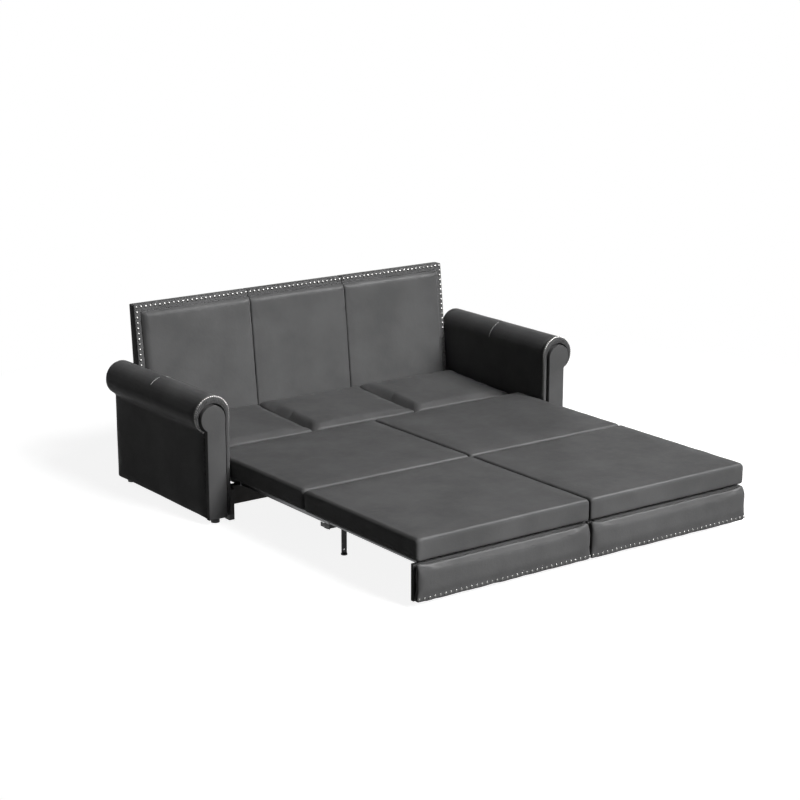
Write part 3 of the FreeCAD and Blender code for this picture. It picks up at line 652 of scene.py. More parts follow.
    @staticmethod
    def rows(piece: bpy.types.Object, key: str) -> np.ndarray:
        """Read three numbers at every point of a piece.

        Args:
            piece: the piece.
            key: co for the places, normal for the outward directions.

        Returns:
            One row for each point.
        """
        flat = np.empty(3 * len(piece.data.vertices), dtype=np.float32)
        piece.data.vertices.foreach_get(key, flat)
        return flat.reshape(-1, 3).astype(float)

    @staticmethod
    def points(piece: bpy.types.Object) -> np.ndarray:
        """The piece's points, one row each."""
        return Bench.rows(piece, "co")

    @staticmethod
    def normals(piece: bpy.types.Object) -> np.ndarray:
        """The outward directions at the piece's points, one row each."""
        return Bench.rows(piece, "normal")

    @staticmethod
    def place(piece: bpy.types.Object, points: np.ndarray) -> None:
        """Put the piece's points at new places."""
        piece.data.vertices.foreach_set("co", points.astype(np.float32).ravel())
        piece.data.update()

    @staticmethod
    def fit(piece: bpy.types.Object, low: Vector, high: Vector) -> None:
        """Stretch a piece so that it fills a box.

        Args:
            piece: the piece.
            low: the box's lowest corner.
            high: the box's highest corner.
        """
        points = Bench.points(piece)
        start = points.min(axis=0)
        scale = (np.array(high) - np.array(low)) / (points.max(axis=0) - start)
        Bench.place(piece, np.array(low) + (points - start) * scale)

    @staticmethod
    def inflate(piece: bpy.types.Object, stuffing: Stuffing, ease: Ease | None = None) -> None:
        """Remesh a closed form and swell it with cloth pressure, each point held within the cap.

        Args:
            piece: the closed form.
            stuffing: how it is filled.
            ease: the share of the swelling that each point makes, or all make the whole.
        """
        Bench.apply(piece, "REMESH", mode="VOXEL", voxel_size=stuffing.voxel)
        start = Bench.points(piece)
        cloth = piece.modifiers.new("filling", "CLOTH")
        cloth.settings.use_pressure = True
        cloth.settings.uniform_pressure_force = stuffing.pressure
        cloth.settings.effector_weights.gravity = 0.0
        cloth.collision_settings.use_collision = False
        cloth.point_cache.frame_start = 1
        cloth.point_cache.frame_end = stuffing.frames
        for step in range(1, stuffing.frames + 1):
            bpy.context.scene.frame_set(step)
        Bench.hold(piece)
        bpy.ops.object.modifier_apply(modifier=cloth.name)
        bpy.context.scene.frame_set(1)
        moved = Bench.points(piece) - start
        length = np.maximum(np.linalg.norm(moved, axis=1, keepdims=True), 1e-9)
        moved *= stuffing.cap * np.tanh(length / stuffing.cap) / length
        if ease:
            moved *= ease(start)[:, None]
        Bench.place(piece, start + moved)

    @staticmethod
    def pillow(name: str, low: Vector, high: Vector, slack: float, edge: float,
               stuffing: Stuffing) -> bpy.types.Object:
        """Swell a block that starts a little smaller than its room.

        Args:
            name: the piece's name.
            low: the room's lowest corner.
            high: the room's highest corner.
            slack: how much smaller it starts, at each side.
            edge: the rounding of its edges.
            stuffing: how it is filled.

        Returns:
            The swollen form.
        """
        inset = Vector((slack, slack, slack))
        piece = Bench.block(name, low + inset, high - inset)
        Bench.bevel(piece, edge, 3)
        Bench.inflate(piece, stuffing)
        return piece

    @staticmethod
    def copy(piece: bpy.types.Object, name: str) -> bpy.types.Object:
        """Copy a piece with a mesh of its own.

        Args:
            piece: the pattern.
            name: the copy's name.

        Returns:
            The copy.
        """
        twin = piece.copy()
        twin.data = piece.data.copy()
        twin.name = name
        twin.data.name = name
        bpy.context.scene.collection.objects.link(twin)
        return twin

    @staticmethod
    def mirror(piece: bpy.types.Object) -> None:
        """Turn a piece over to the other side of x = 0 and point its faces outwards again."""
        Bench.place(piece, Bench.points(piece) * np.array((-1.0, 1.0, 1.0)))
        with Bench.opened(piece):
            bpy.ops.mesh.flip_normals()

    @staticmethod
    def discard(piece: bpy.types.Object) -> None:
        """Take a pattern away after its copies are made."""
        bpy.data.objects.remove(piece, do_unlink=True)

    @staticmethod
    def repeat(name: str, pattern: bpy.types.Object, places: list[Matrix]) -> bpy.types.Object:
        """Set copies of a small pattern at many places, as one piece.

        Args:
            name: the new piece's name.
            pattern: the small piece.
            places: where the copies go.

        Returns:
            The joined copies.
        """
        mesh = bmesh.new()
        for place in places:
            first = len(mesh.verts)
            mesh.from_mesh(pattern.data)
            mesh.verts.ensure_lookup_table()
            bmesh.ops.transform(mesh, matrix=place, verts=mesh.verts[first:])
        data = bpy.data.meshes.new(name)
        mesh.to_mesh(data)
        mesh.free()
        piece = bpy.data.objects.new(name, data)
        bpy.context.scene.collection.objects.link(piece)
        return piece

    @staticmethod
    def finish(piece: bpy.types.Object, material: bpy.types.Material, slot: Slot, body: str,
               nodes: tuple[str, ...] = (), fill: float | None = None, crease: float = 40.0) -> None:
        """Smooth a piece, give it its finish and hang it on its body.

        Args:
            piece: the piece.
            material: its material.
            slot: the record's slot for that finish; not used.
            body: the body it moves with.
            nodes: the CAD nodes it stands for.
            fill: how tightly it is stuffed, for a padded piece; not used.
            crease: edges sharper than this many degrees stay sharp.
        """
        Bench.hold(piece)
        bpy.ops.object.shade_smooth_by_angle(angle=math.radians(crease))
        piece.data.materials.clear()
        piece.data.materials.append(material)
        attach(piece, body)
        if nodes:
            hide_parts(*nodes)
        LOG.info("%s: %d faces, on %s", piece.name, len(piece.data.polygons), body)


class Surface:
    """A finished form that small pieces are set on."""

    def __init__(self, piece: bpy.types.Object) -> None:
        """Take the form's present shape.

        Args:
            piece: the form.
        """
        mesh = piece.data
        corners = [vertex.co.copy() for vertex in mesh.vertices]
        self.tree = BVHTree.FromPolygons(corners, [tuple(face.vertices) for face in mesh.polygons])

    def land(self, start: Vector, heading: Vector) -> tuple[Vector, Vector]:
        """Find where a straight line meets the form.

        Args:
            start: a point outside the form.
            heading: the direction of the line.

        Returns:
            The point where it lands, and the direction straight out of the form there.
        """
        spot, normal, _, _ = self.tree.ray_cast(start, heading.normalized())
        if spot is None:
            return start, -heading.normalized()
        if normal.dot(heading) > 0:
            normal = -normal
        return spot, normal

    def stand(self, start: Vector, heading: Vector) -> Matrix:
        """The place of a nail that is driven along a straight line."""
        return stood(*self.land(start, heading))


def stood(spot: Vector, heading: Vector) -> Matrix:
    """The place of a small piece that stands on a spot and points along a heading."""
    return Matrix.Translation(spot) @ heading.to_track_quat("Z", "Y").to_matrix().to_4x4()


def turns(count: int) -> list[float]:
    """Angles at even steps round a full turn."""
    return [2.0 * math.pi * step / count for step in range(count)]


def fade(value: np.ndarray | float, start: float, end: float) -> np.ndarray | float:
    """A smooth step.

    Args:
        value: where it is taken.
        start: the value where it is 0.
        end: the value where it is 1.

    Returns:
        The step, from 0 to 1.
    """
    share = np.clip((value - start) / (end - start), 0.0, 1.0)
    return share * share * (3.0 - 2.0 * share)


def push(piece: bpy.types.Object, moves: np.ndarray) -> None:
    """Move each point of a piece straight out by its own distance."""
    Bench.place(piece, Bench.points(piece) + Bench.normals(piece) * moves[:, None])


def tighten(distance: np.ndarray, zone: float) -> np.ndarray:
    """Draw the rounding beside a seam together, so that the seam shows as a thin line.

    Args:
        distance: how far each point lies from the seam.
        zone: how far the rounding reaches.

    Returns:
        The shorter distances.
    """
    inside = np.clip(distance, 0.0, zone)
    return distance - inside + inside * inside / zone


@dataclass(frozen=True)
class Folds:
    """Pull folds that start at the edges of a cover, and the slow waves of its middle."""

    depth: float = 0.0012
    pitch: float = 0.045
    reach: float = 0.07
    swell: float = 0.0010
    swell_pitch: float = 0.21
    reaches: float = 3.0
    seeds: tuple[float, float] = (7.3, 13.1)

    def press(self, piece: bpy.types.Object, plan: tuple[int, int], seed: float) -> None:
        """Press the folds into a piece.

        Args:
            piece: the piece.
            plan: the two axes of its wide face.
            seed: shifts the noise from one copy to the next.
        """
        points = Bench.points(piece)
        low = points.min(axis=0)
        high = points.max(axis=0)
        across, along = plan
        second_seed, slow_seed = self.seeds
        long_pitch = self.reaches * self.pitch
        moves = np.zeros(len(points))
        for index, point in enumerate(points):
            first = min(point[across] - low[across], high[across] - point[across])
            second = min(point[along] - low[along], high[along] - point[along])
            total = 0.0
            if first < self.reaches * self.reach:
                spot = Vector((point[along] / self.pitch, first / long_pitch, seed))
                total += math.exp(-first / self.reach) * noise.noise(spot)
            if second < self.reaches * self.reach:
                spot = Vector((point[across] / self.pitch, second / long_pitch, seed + second_seed))
                total += math.exp(-second / self.reach) * noise.noise(spot)
            slow = Vector((point[across] / self.swell_pitch, point[along] / self.swell_pitch,
                           seed + slow_seed))
            moves[index] = self.depth * total + self.swell * noise.noise(slow)
        push(piece, moves)


@dataclass(frozen=True)
class Pull:
    """Folds that run along an arm's roll towards one place, so many to a radian round it."""

    depth: float
    reach: float
    to_radian: float
    length: float
    seed: float

    def at(self, away: float, turn: float, along: float, shift: float) -> float:
        """How far the folds move a point of the cover.

        Args:
            away: how far the point lies from that place.
            turn: the point's angle round the roll.
            along: where it lies along the roll.
            shift: tells one arm's folds from the other's.

        Returns:
            The move, straight out of the cover.
        """
        spot = Vector((turn * self.to_radian, along / self.length, self.seed + shift))
        return self.depth * math.exp(-away / self.reach) * noise.noise(spot)


@dataclass
class Nails:
    """Domed decorative nails, one pattern for every row."""

    finishes: Finishes
    radius: float = 0.0061
    rise: float = 0.0036
    sides: int = 8
    sunk: float = 0.0012
    dome: tuple[tuple[float, float], ...] = ((1.0, 0.25), (0.78, 0.72), (0.36, 1.0))

    def __post_init__(self) -> None:
        """Make the pattern: a rim and a dome of two bands."""
        rings = [(self.radius, -self.sunk)]
        rings += [(wide * self.radius, high * self.rise) for wide, high in self.dome]
        loops = [[Vector((size * math.cos(turn), size * math.sin(turn), height))
                  for turn in turns(self.sides)] for size, height in rings]
        self.pattern = Bench.sleeve("nail_pattern", loops)

    def row(self, name: str, places: list[Matrix], body: str, covered: bool = False) -> None:
        """Drive a row of nails.

        Args:
            name: the row's name.
            places: where the nails stand.
            body: the body that the row moves with.
            covered: the heads are covered with leather.
        """
        piece = Bench.repeat(name, self.pattern, places)
        material = self.finishes.leather if covered else self.finishes.nail
        slot = Slot.LEATHER if covered else Slot.ZINC
        Bench.finish(piece, material, slot, body, crease=50.0)

    def done(self) -> None:
        """Take the pattern away."""
        Bench.discard(self.pattern)


@dataclass
class Arms:
    """The two rolled arms: one cover over roll and panel, gathered front band, flat facing, trim."""

    finishes: Finishes
    nails: Nails
    # The roll and the panel under it, in one cover.
    roll_x: float = 0.988
    roll_z: float = 0.505
    roll_radius: float = 0.086
    roll_slack: float = 0.004
    inner: float = 0.902
    outer: float = 1.025
    cover_back: float = 0.016
    cover_round: float = 0.008
    filling: Stuffing = Stuffing(voxel=0.009, cap=0.005)
    head_steps: int = 44
    # Its folds: gathered at the front, tugged at the cross seam, slow between; the seam's groove.
    gather: Pull = Pull(depth=0.0022, reach=0.05, to_radian=6.5, length=0.09, seed=4.0)
    tug: Pull = Pull(depth=0.0012, reach=0.03, to_radian=5.0, length=0.05, seed=9.0)
    swell: float = 0.0016
    swell_pitch: tuple[float, float] = (0.2, 0.16)
    dip: float = 0.0007
    dip_half: float = 0.0045
    dip_from: tuple[float, float] = (0.42, 0.45)
    # The flat facing and its round head.
    head_x: float = 0.990
    head_z: float = 0.489
    head_radius: float = 0.061
    facing_inner: float = 0.929
    facing_outer: float = 1.022
    facing_round: float = 0.0032
    facing_extra: float = 0.003
    # The band between them: its course from under the roll to the foot.
    groove: float = 0.0095
    band_back: float = 0.010
    band_depth: float = 0.0125
    band_end: float = -56.0
    band_foot: float = 0.030
    band_steps: tuple[int, int] = (110, 150)
    band_even: float = 0.2
    band_square: float = 0.55
    band_around: int = 16
    taper_least: float = 0.08
    taper_reach: float = 0.014
    # Its pleats, flatter where it runs straight down.
    straight: tuple[float, float] = (0.50, 0.40)
    pleat_pitch: float = 0.0095
    pleat_depth: float = 0.15
    pleat_least: float = 0.25
    pleat_stray: float = 2.2
    pleat_stray_pitch: float = 0.03
    pleat_seed: float = 1.7
    pleat_sides: float = 0.03
    # The welt on the band's inner edge.
    piping_radius: float = 0.0022
    piping_around: int = 8
    piping_end: float = 0.4
    piping_out: float = 0.0015
    piping_back: float = 0.0035
    # Nails round the rim, and covered ones down the outer edge.
    rim_pitch: float = 0.0105
    rim_scale: float = 0.82
    rim_back: float = 0.006
    rim_sunk: float = 0.0022
    rim_foot: float = 0.30
    rim_lean: float = 0.55
    edge_pitch: float = 0.018
    edge_back: float = 0.036
    # Stitches over the roll, where they show.
    seam_y: float = 0.685
    seam_turns: tuple[tuple[float, float], ...] = ((46.0, 82.0), (107.0, 166.0))
    stitch_length: float = 0.0085
    stitch_pitch: float = 0.0098
    stitch_thick: float = 0.0016
    stitch_lift: float = 0.0002
    stitch_sides: int = 6
    stitch_shape: tuple[tuple[float, float], ...] = ((-1.0, 0.35), (-0.7, 1.0), (0.7, 1.0), (1.0, 0.35))
    # From the solids.
    front: float = field(init=False)
    face_depth: float = field(init=False)
    back: float = field(init=False)

    def __post_init__(self) -> None:
        """Take the arm's length from its solids."""
        low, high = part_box("right_arm_facing")
        self.front = low.y
        self.face_depth = high.y - low.y
        self.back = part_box("right_arm_roll")[1].y

    def build(self) -> None:
        """Make both arms, the roll's swollen pattern once."""
        pattern = self.cover_pattern()
        for side in Side:
            roll = self.cover(side, pattern)
            self.facing(side)
            self.band(side)
            self.piping(side)
            self.trim(side, roll)
            self.seam(side, roll)
        Bench.discard(pattern)

    def outline(self, inner: float, outer: float, foot: float, centre: tuple[float, float],
                radius: float, y: float) -> list[Vector]:
        """The arm's outline seen from the front, for the right arm.

        Args:
            inner: x of the straight inner side.
            outer: x of the straight outer side.
            foot: z of the base.
            centre: x and z of the head's centre.
            radius: the head's radius.
            y: the plane it lies in.

        Returns:
            The corners, from the inner foot over the head to the outer foot.
        """
        start = math.acos(max(-1.0, (inner - centre[0]) / radius))
        end = -math.acos((outer - centre[0]) / radius)
        corners = [Vector((inner, y, foot))]
        for step in range(self.head_steps + 1):
            turn = start + (end - start) * step / self.head_steps
            corners.append(Vector((centre[0] + radius * math.cos(turn), y,
                                   centre[1] + radius * math.sin(turn))))
        corners.append(Vector((outer, y, foot)))
        return corners

    def cover_pattern(self) -> bpy.types.Object:
        """Swell the right arm's cover once: the roll and the panel under it."""
        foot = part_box("right_arm_body")[0].z
        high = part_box("right_arm_roll")[1]
        slack = self.roll_slack
        front = self.front + self.cover_back + self.band_back
        corners = self.outline(self.inner + slack, self.outer - slack, foot + slack,
                               (self.roll_x, self.roll_z), self.roll_radius - slack, front)
        piece = Bench.sheet("cover_pattern", corners)
        Bench.extrude(piece, Vector((0.0, self.back - front, 0.0)))
        Bench.bevel(piece, self.cover_round, 3,
                    lambda middle: middle.y < front + HAIR or middle.y > self.back - HAIR)
        Bench.inflate(piece, self.filling)
        Bench.fit(piece, Vector((self.inner, front, foot)), Vector((high.x, self.back, high.z)))
        return piece

    def cover(self, side: Side, pattern: bpy.types.Object) -> bpy.types.Object:
        """Copy the cover, press its folds and its cross seam into it.

        Args:
            side: which arm.
            pattern: the swollen form.

        Returns:
            The arm's cover.
        """
        piece = Bench.copy(pattern, side.word + "_arm_cover")
        wide, deep = self.swell_pitch
        points = Bench.points(piece)
        moves = np.zeros(len(points))
        for index, (x, y, z) in enumerate(points):
            turn = math.atan2(z - self.roll_z, x - self.roll_x)
            gathered = self.gather.at(y - self.front, turn, y - self.front, side.value)
            slow = noise.noise(Vector((x / wide, y / deep, z / wide + side.value)))
            tugged = self.tug.at(abs(y - self.seam_y), turn, y, side.value)
            moves[index] = gathered + self.swell * slow + tugged
        push(piece, moves)
        Bench.refine(piece)
        points = Bench.points(piece)
        groove = np.exp(-((points[:, 1] - self.seam_y) / self.dip_half) ** 2)
        push(piece, -self.dip * groove * fade(points[:, 2], *self.dip_from))
        if side is Side.LEFT:
            Bench.mirror(piece)
        nodes = (side.word + "_arm_roll", side.word + "_arm_body")
        self.finishes.cover(piece, "base", nodes, fill=0.9)
        return piece

    def facing(self, side: Side) -> None:
        """The flat leather-covered board on the arm's front.

        Args:
            side: which arm.
        """
        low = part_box("right_arm_facing")[0]
        corners = self.outline(self.facing_inner, self.facing_outer, low.z,
                               (self.head_x, self.head_z), self.head_radius, self.front)
        piece = Bench.sheet(side.word + "_arm_facing_cover", corners)
        Bench.extrude(piece, Vector((0.0, self.face_depth + self.band_back + self.facing_extra, 0.0)))
        Bench.bevel(piece, self.facing_round, 3, lambda middle: middle.y < self.front + HAIR)
        if side is Side.LEFT:
            Bench.mirror(piece)
        self.finishes.cover(piece, "base", (side.word + "_arm_facing",), crease=30.0)

    def track(self) -> list[tuple[Vector, Vector, float]]:
        """The band's course on the right arm.

        Returns:
            For each step: the point on the roll's rim, the point beside the groove, and the length so far.
        """
        course: list[tuple[Vector, Vector, float]] = []
        reached = 0.0
        bend, drop = self.band_steps
        for step in range(bend + 1):
            turn = math.radians(self.band_end + (180.0 - self.band_end) * step / bend)
            rim = Vector((self.roll_x + self.roll_radius * math.cos(turn), 0.0,
                          self.roll_z + self.roll_radius * math.sin(turn)))
            reach = self.head_radius + self.groove
            lip = Vector((self.head_x + reach * math.cos(turn), 0.0, self.head_z + reach * math.sin(turn)))
            if course:
                reached += (rim - course[-1][0]).length
            course.append((rim, lip, reached))
        rim, lip, reached = course[-1]
        for step in range(1, drop + 1):
            share = step / drop
            height = rim.z + (self.band_foot - rim.z) * share
            lag = (rim.z - lip.z) * max(0.0, 1.0 - share / self.band_even)
            course.append((Vector((rim.x, 0.0, height)), Vector((lip.x, 0.0, height - lag)),
                           reached + (rim.z - height)))
        return course

    def band(self, side: Side) -> None:
        """The gathered band between the roll and the facing.

        Args:
            side: which arm.
        """
        least = self.pleat_least
        sides = self.pleat_sides
        middle_y = self.front + self.band_back + self.band_depth
        course = self.track()
        total = course[-1][2]
        rings = []
        for rim, lip, reached in course:
            centre = (rim + lip) / 2
            half = (rim - lip) / 2
            curved = 1.0 - float(fade(centre.z, *self.straight)) if centre.x < self.roll_x else 1.0
            spot = Vector((reached / self.pleat_stray_pitch, self.pleat_seed, side.value))
            wave = math.sin(2.0 * math.pi * reached / self.pleat_pitch
                            + self.pleat_stray * noise.noise(spot))
            pleat = 1.0 + (least + (1.0 - least) * curved) * self.pleat_depth * wave
            ends = min(reached, total - reached)
            taper = math.sqrt(min(1.0, max(self.taper_least, ends / self.taper_reach)))
            ring = []
            for turn in turns(self.band_around):
                wide = math.copysign(abs(math.cos(turn)) ** self.band_square, math.cos(turn))
                deep = math.copysign(abs(math.sin(turn)) ** self.band_square, math.sin(turn))
                depth = self.band_depth * taper * (pleat if deep < 0 else 1.0)
                spot = centre + half * taper * wide * (1.0 - sides + sides * pleat)
                ring.append(Vector((side.value * spot.x, middle_y + depth * deep, spot.z)))
            rings.append(ring)
        piece = Bench.sleeve(side.word + "_arm_front_band", rings)
        self.finishes.cover(piece, "base", fill=0.8)

    def piping(self, side: Side) -> None:
        """The thin welt on the band's inner edge.

        Args:
            side: which arm.
        """
        course = self.track()[::2]
        rings = []
        for index, (rim, lip, _) in enumerate(course):
            outward = (rim - lip).normalized()
            centre = lip + outward * self.piping_out
            size = self.piping_radius * (self.piping_end if index in (0, len(course) - 1) else 1.0)
            ring = []
            for turn in turns(self.piping_around):
                spot = centre + outward * size * math.cos(turn)
                depth = self.front + self.band_back + self.piping_back + size * math.sin(turn)
                ring.append(Vector((side.value * spot.x, depth, spot.z)))
            rings.append(ring)
        piece = Bench.sleeve(side.word + "_arm_welt", rings)
        self.finishes.cover(piece, "base")

    def trim(self, side: Side, roll: bpy.types.Object) -> None:
        """Nails round the roll's rim and down the outer front edge.

        Args:
            side: which arm.
            roll: the roll's cover.
        """
        places = []
        passed = 0.0
        for rim, lip, reached in self.track():
            if reached < passed or rim.z < self.rim_foot:
                continue
            passed += self.rim_pitch
            outward = (rim - lip).normalized()
            outward.x *= side.value
            heading = (outward + Vector((0.0, -self.rim_lean, 0.0))).normalized()
            spot = Vector((side.value * rim.x, self.front + self.band_back + self.rim_back, rim.z))
            spot -= outward * self.rim_sunk
            places.append(stood(spot, heading) @ Matrix.Scale(self.rim_scale, 4))
        self.nails.row(side.word + "_arm_rim_nails", places, "base")
        low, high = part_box(side.word + "_arm_body")
        surface = Surface(roll)
        edge = []
        height = low.z + 0.5 * self.edge_pitch
        while height < high.z - self.roll_slack:
            start = Vector((side.value * (self.outer + AWAY), self.front + self.edge_back, height))
            edge.append(surface.stand(start, Vector((-side.value, 0.0, 0.0))))
            height += self.edge_pitch
        self.nails.row(side.word + "_arm_edge_nails", edge, "base", covered=True)

    def seam(self, side: Side, roll: bpy.types.Object) -> None:
        """The row of stitches over the roll.

        Args:
            side: which arm.
            roll: the roll's cover.
        """
        surface = Surface(roll)
        half = self.stitch_length / 2
        loops = []
        for reach, share in self.stitch_shape:
            size = share * self.stitch_thick
            loops.append([Vector((reach * half, size * math.cos(turn), size * math.sin(turn)))
                          for turn in turns(self.stitch_sides)])
        pattern = Bench.sleeve("stitch_pattern", loops)
        places = []
        step = self.stitch_pitch / self.roll_radius
        for first, last in self.seam_turns:
            turn = math.radians(first)
            while turn < math.radians(last):
                out = Vector((side.value * math.cos(turn), 0.0, math.sin(turn)))
                start = Vector((side.value * self.roll_x, self.seam_y, self.roll_z)) + 2.0 * AWAY * out
                spot, normal = surface.land(start, -out)
                along = Vector((-normal.z, 0.0, normal.x)).normalized()
                basis = Matrix((along, normal.cross(along), normal)).transposed()
                places.append(Matrix.Translation(spot + normal * self.stitch_lift) @ basis.to_4x4())
                turn += step
        piece = Bench.repeat(side.word + "_arm_seam", pattern, places)
        Bench.discard(pattern)
        Bench.finish(piece, self.finishes.thread, Slot.LEATHER, "base", crease=60.0)


@dataclass
class Back:
    """The back: a covered shell in three widths, its nails, and three padded sections."""

    finishes: Finishes
    nails: Nails
    # The leaning shell: its front face, its rear foot, and the lines between the three widths.
    slope: float = 0.11
    front_top: float = 1.0895
    rear_foot: float = 1.0905
    third_line: float = 0.277
    lining: float = 0.0006
    edge: float = 0.005
    # Nails along its borders.
    nail_pitch: float = 0.025
    nail_inset: float = 0.0115
    # The panel over its rear.
    rear_inset: float = 0.012
    rear_proud: tuple[float, float] = (0.002, 0.004)
    rear_edge: float = 0.0025
    rear_voxel: float = 0.012
    rear_folds: Folds = Folds(depth=0.0008, pitch=0.08, reach=0.09, swell=0.0012)
    rear_seed: float = 31.0
    # The padded sections, rolled off towards their free edges and drawn together at the lines.
    pad_thick: float = 0.027
    pad_slack: float = 0.004
    pad_bevel: float = 0.010
    pad_gap: float = 0.0007
    pad_round: float = 0.033
    pad_least: float = 0.05
    pad_power: float = 2.6
    tight_zone: float = 0.016
    lining_depth: float = 0.001
    filling: Stuffing = Stuffing(voxel=0.0075, cap=0.007)
    folds: Folds = Folds(depth=0.0009, pitch=0.07, reach=0.05, swell=0.0012)
    # From the solid.
    low: Vector = field(init=False)
    high: Vector = field(init=False)

    def __post_init__(self) -> None:
        """Take the shell's corners from its solid."""
        self.low, self.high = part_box("back_shell")

    def build(self) -> None:
        """Make the cover, the rear panel, the nails and the sections."""
        self.covers()
        self.rear_panel()
        self.nail_rows()
        self.pads()

    def front(self, z: float | np.ndarray) -> float | np.ndarray:
        """The y of the shell's front face at a height."""
        return self.front_top - self.slope * (self.high.z - z)

    def covers(self) -> None:
        """The border strips: the shell's cover is sewn from three widths."""
        lines = (self.low.x, -self.third_line, self.third_line, self.high.x)
        for index, third in enumerate(Third):
            start = lines[index] + (self.lining if index else 0.0)
            end = lines[index + 1] - (self.lining if index < 2 else 0.0)
            corners = [Vector((start, y, z)) for y, z in (
                (self.front(self.low.z), self.low.z), (self.front(self.high.z), self.high.z),
                (self.high.y, self.high.z), (self.rear_foot, self.low.z))]
            piece = Bench.sheet(third.word + "_back_border", corners)
            Bench.extrude(piece, Vector((end - start, 0.0, 0.0)))
            Bench.bevel(piece, self.edge, 4)
            nodes = ("back_shell",) if third is Third.CENTRE else ()
            self.finishes.cover(piece, "base", nodes, crease=30.0)

    def rear_panel(self) -> None:
        """One leather panel over the shell's rear, drawn in at its edges."""
        inset = self.rear_inset
        under, over = self.rear_proud
        rise = (self.high.y - self.rear_foot) / (self.high.z - self.low.z)
        low = Vector((self.low.x + inset, self.rear_foot - under, self.low.z + inset))
        high = Vector((self.high.x - inset, self.rear_foot + over, self.high.z - inset))
        piece = Bench.block("back_rear_panel", low, high)
        Bench.bevel(piece, self.rear_edge, 2)
        Bench.apply(piece, "REMESH", mode="VOXEL", voxel_size=self.rear_voxel, adaptivity=0.0)
        Bench.fit(piece, low, high)
        self.rear_folds.press(piece, UPRIGHT, self.rear_seed)
        points = Bench.points(piece)
        points[:, 1] += rise * (points[:, 2] - self.low.z)
        Bench.place(piece, points)
        self.finishes.cover(piece, "base", crease=60.0)

    def nail_rows(self) -> None:
        """Nails along the top border and down both side borders."""
        way = Vector((0.0, -1.0, self.slope)).normalized()

        def stand(x: float, z: float) -> Matrix:
            """The place of a nail on the front face."""
            return stood(Vector((x, self.front(z), z)), way)

        top = self.high.z - self.nail_inset
        side = self.high.x - self.nail_inset
        count = round(2.0 * side / self.nail_pitch)
        row = [stand(-side + 2.0 * side * step / count, top) for step in range(count + 1)]
        self.nails.row("back_top_nails", row, "base")
        for half in Side:
            column = []
            height = top - self.nail_pitch
            while height > self.low.z + self.nail_pitch:
                column.append(stand(half.value * side, height))
                height -= self.nail_pitch
            self.nails.row(half.word + "_back_side_nails", column, "base")

    def pads(self) -> None:
        """The three padded sections, swollen once upright and leaned back with the shell."""
        low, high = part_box("centre_back_pad")
        thick = self.pad_thick
        slack = self.pad_slack
        start = Vector((low.x + slack, -thick + slack, low.z + slack))
        end = Vector((high.x - slack, 0.0, high.z - slack))
        pattern = Bench.block("pad_pattern", start, end)
        Bench.bevel(pattern, self.pad_bevel, 3, lambda middle: middle.y < -thick / 3.0)
        Bench.inflate(pattern, self.filling)
        for third in Third:
            low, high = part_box(third.word + "_back_pad")
            piece = Bench.copy(pattern, third.word + "_back_section")
            left = low.x if third is Third.LEFT else math.copysign(self.third_line, low.x) + self.pad_gap
            right = high.x if third is Third.RIGHT else math.copysign(self.third_line, high.x) - self.pad_gap
            Bench.fit(piece, Vector((left, -thick, low.z)), Vector((right, self.lining_depth, high.z)))
            points = Bench.points(piece)
            if third is not Third.LEFT:
                points[:, 0] = left + tighten(points[:, 0] - left, self.tight_zone)
            if third is not Third.RIGHT:
                points[:, 0] = right - tighten(right - points[:, 0], self.tight_zone)
            free = high.z - points[:, 2]
            if third is Third.LEFT:
                free = np.minimum(free, points[:, 0] - left)
            if third is Third.RIGHT:
                free = np.minimum(free, right - points[:, 0])
            rounding = 1.0 - np.clip(free / self.pad_round, 0.0, 1.0)
            points[:, 1] *= self.pad_least + (1.0 - self.pad_least) * (1.0 - rounding ** self.pad_power)
            Bench.place(piece, points)
            self.folds.press(piece, UPRIGHT, third.value)
            points = Bench.points(piece)
            points[:, 1] += self.front(points[:, 2])
            Bench.place(piece, points)
            Bench.refine(piece)
            self.finishes.cover(piece, "base", (third.word + "_back_pad",), fill=0.85)
        Bench.discard(pattern)


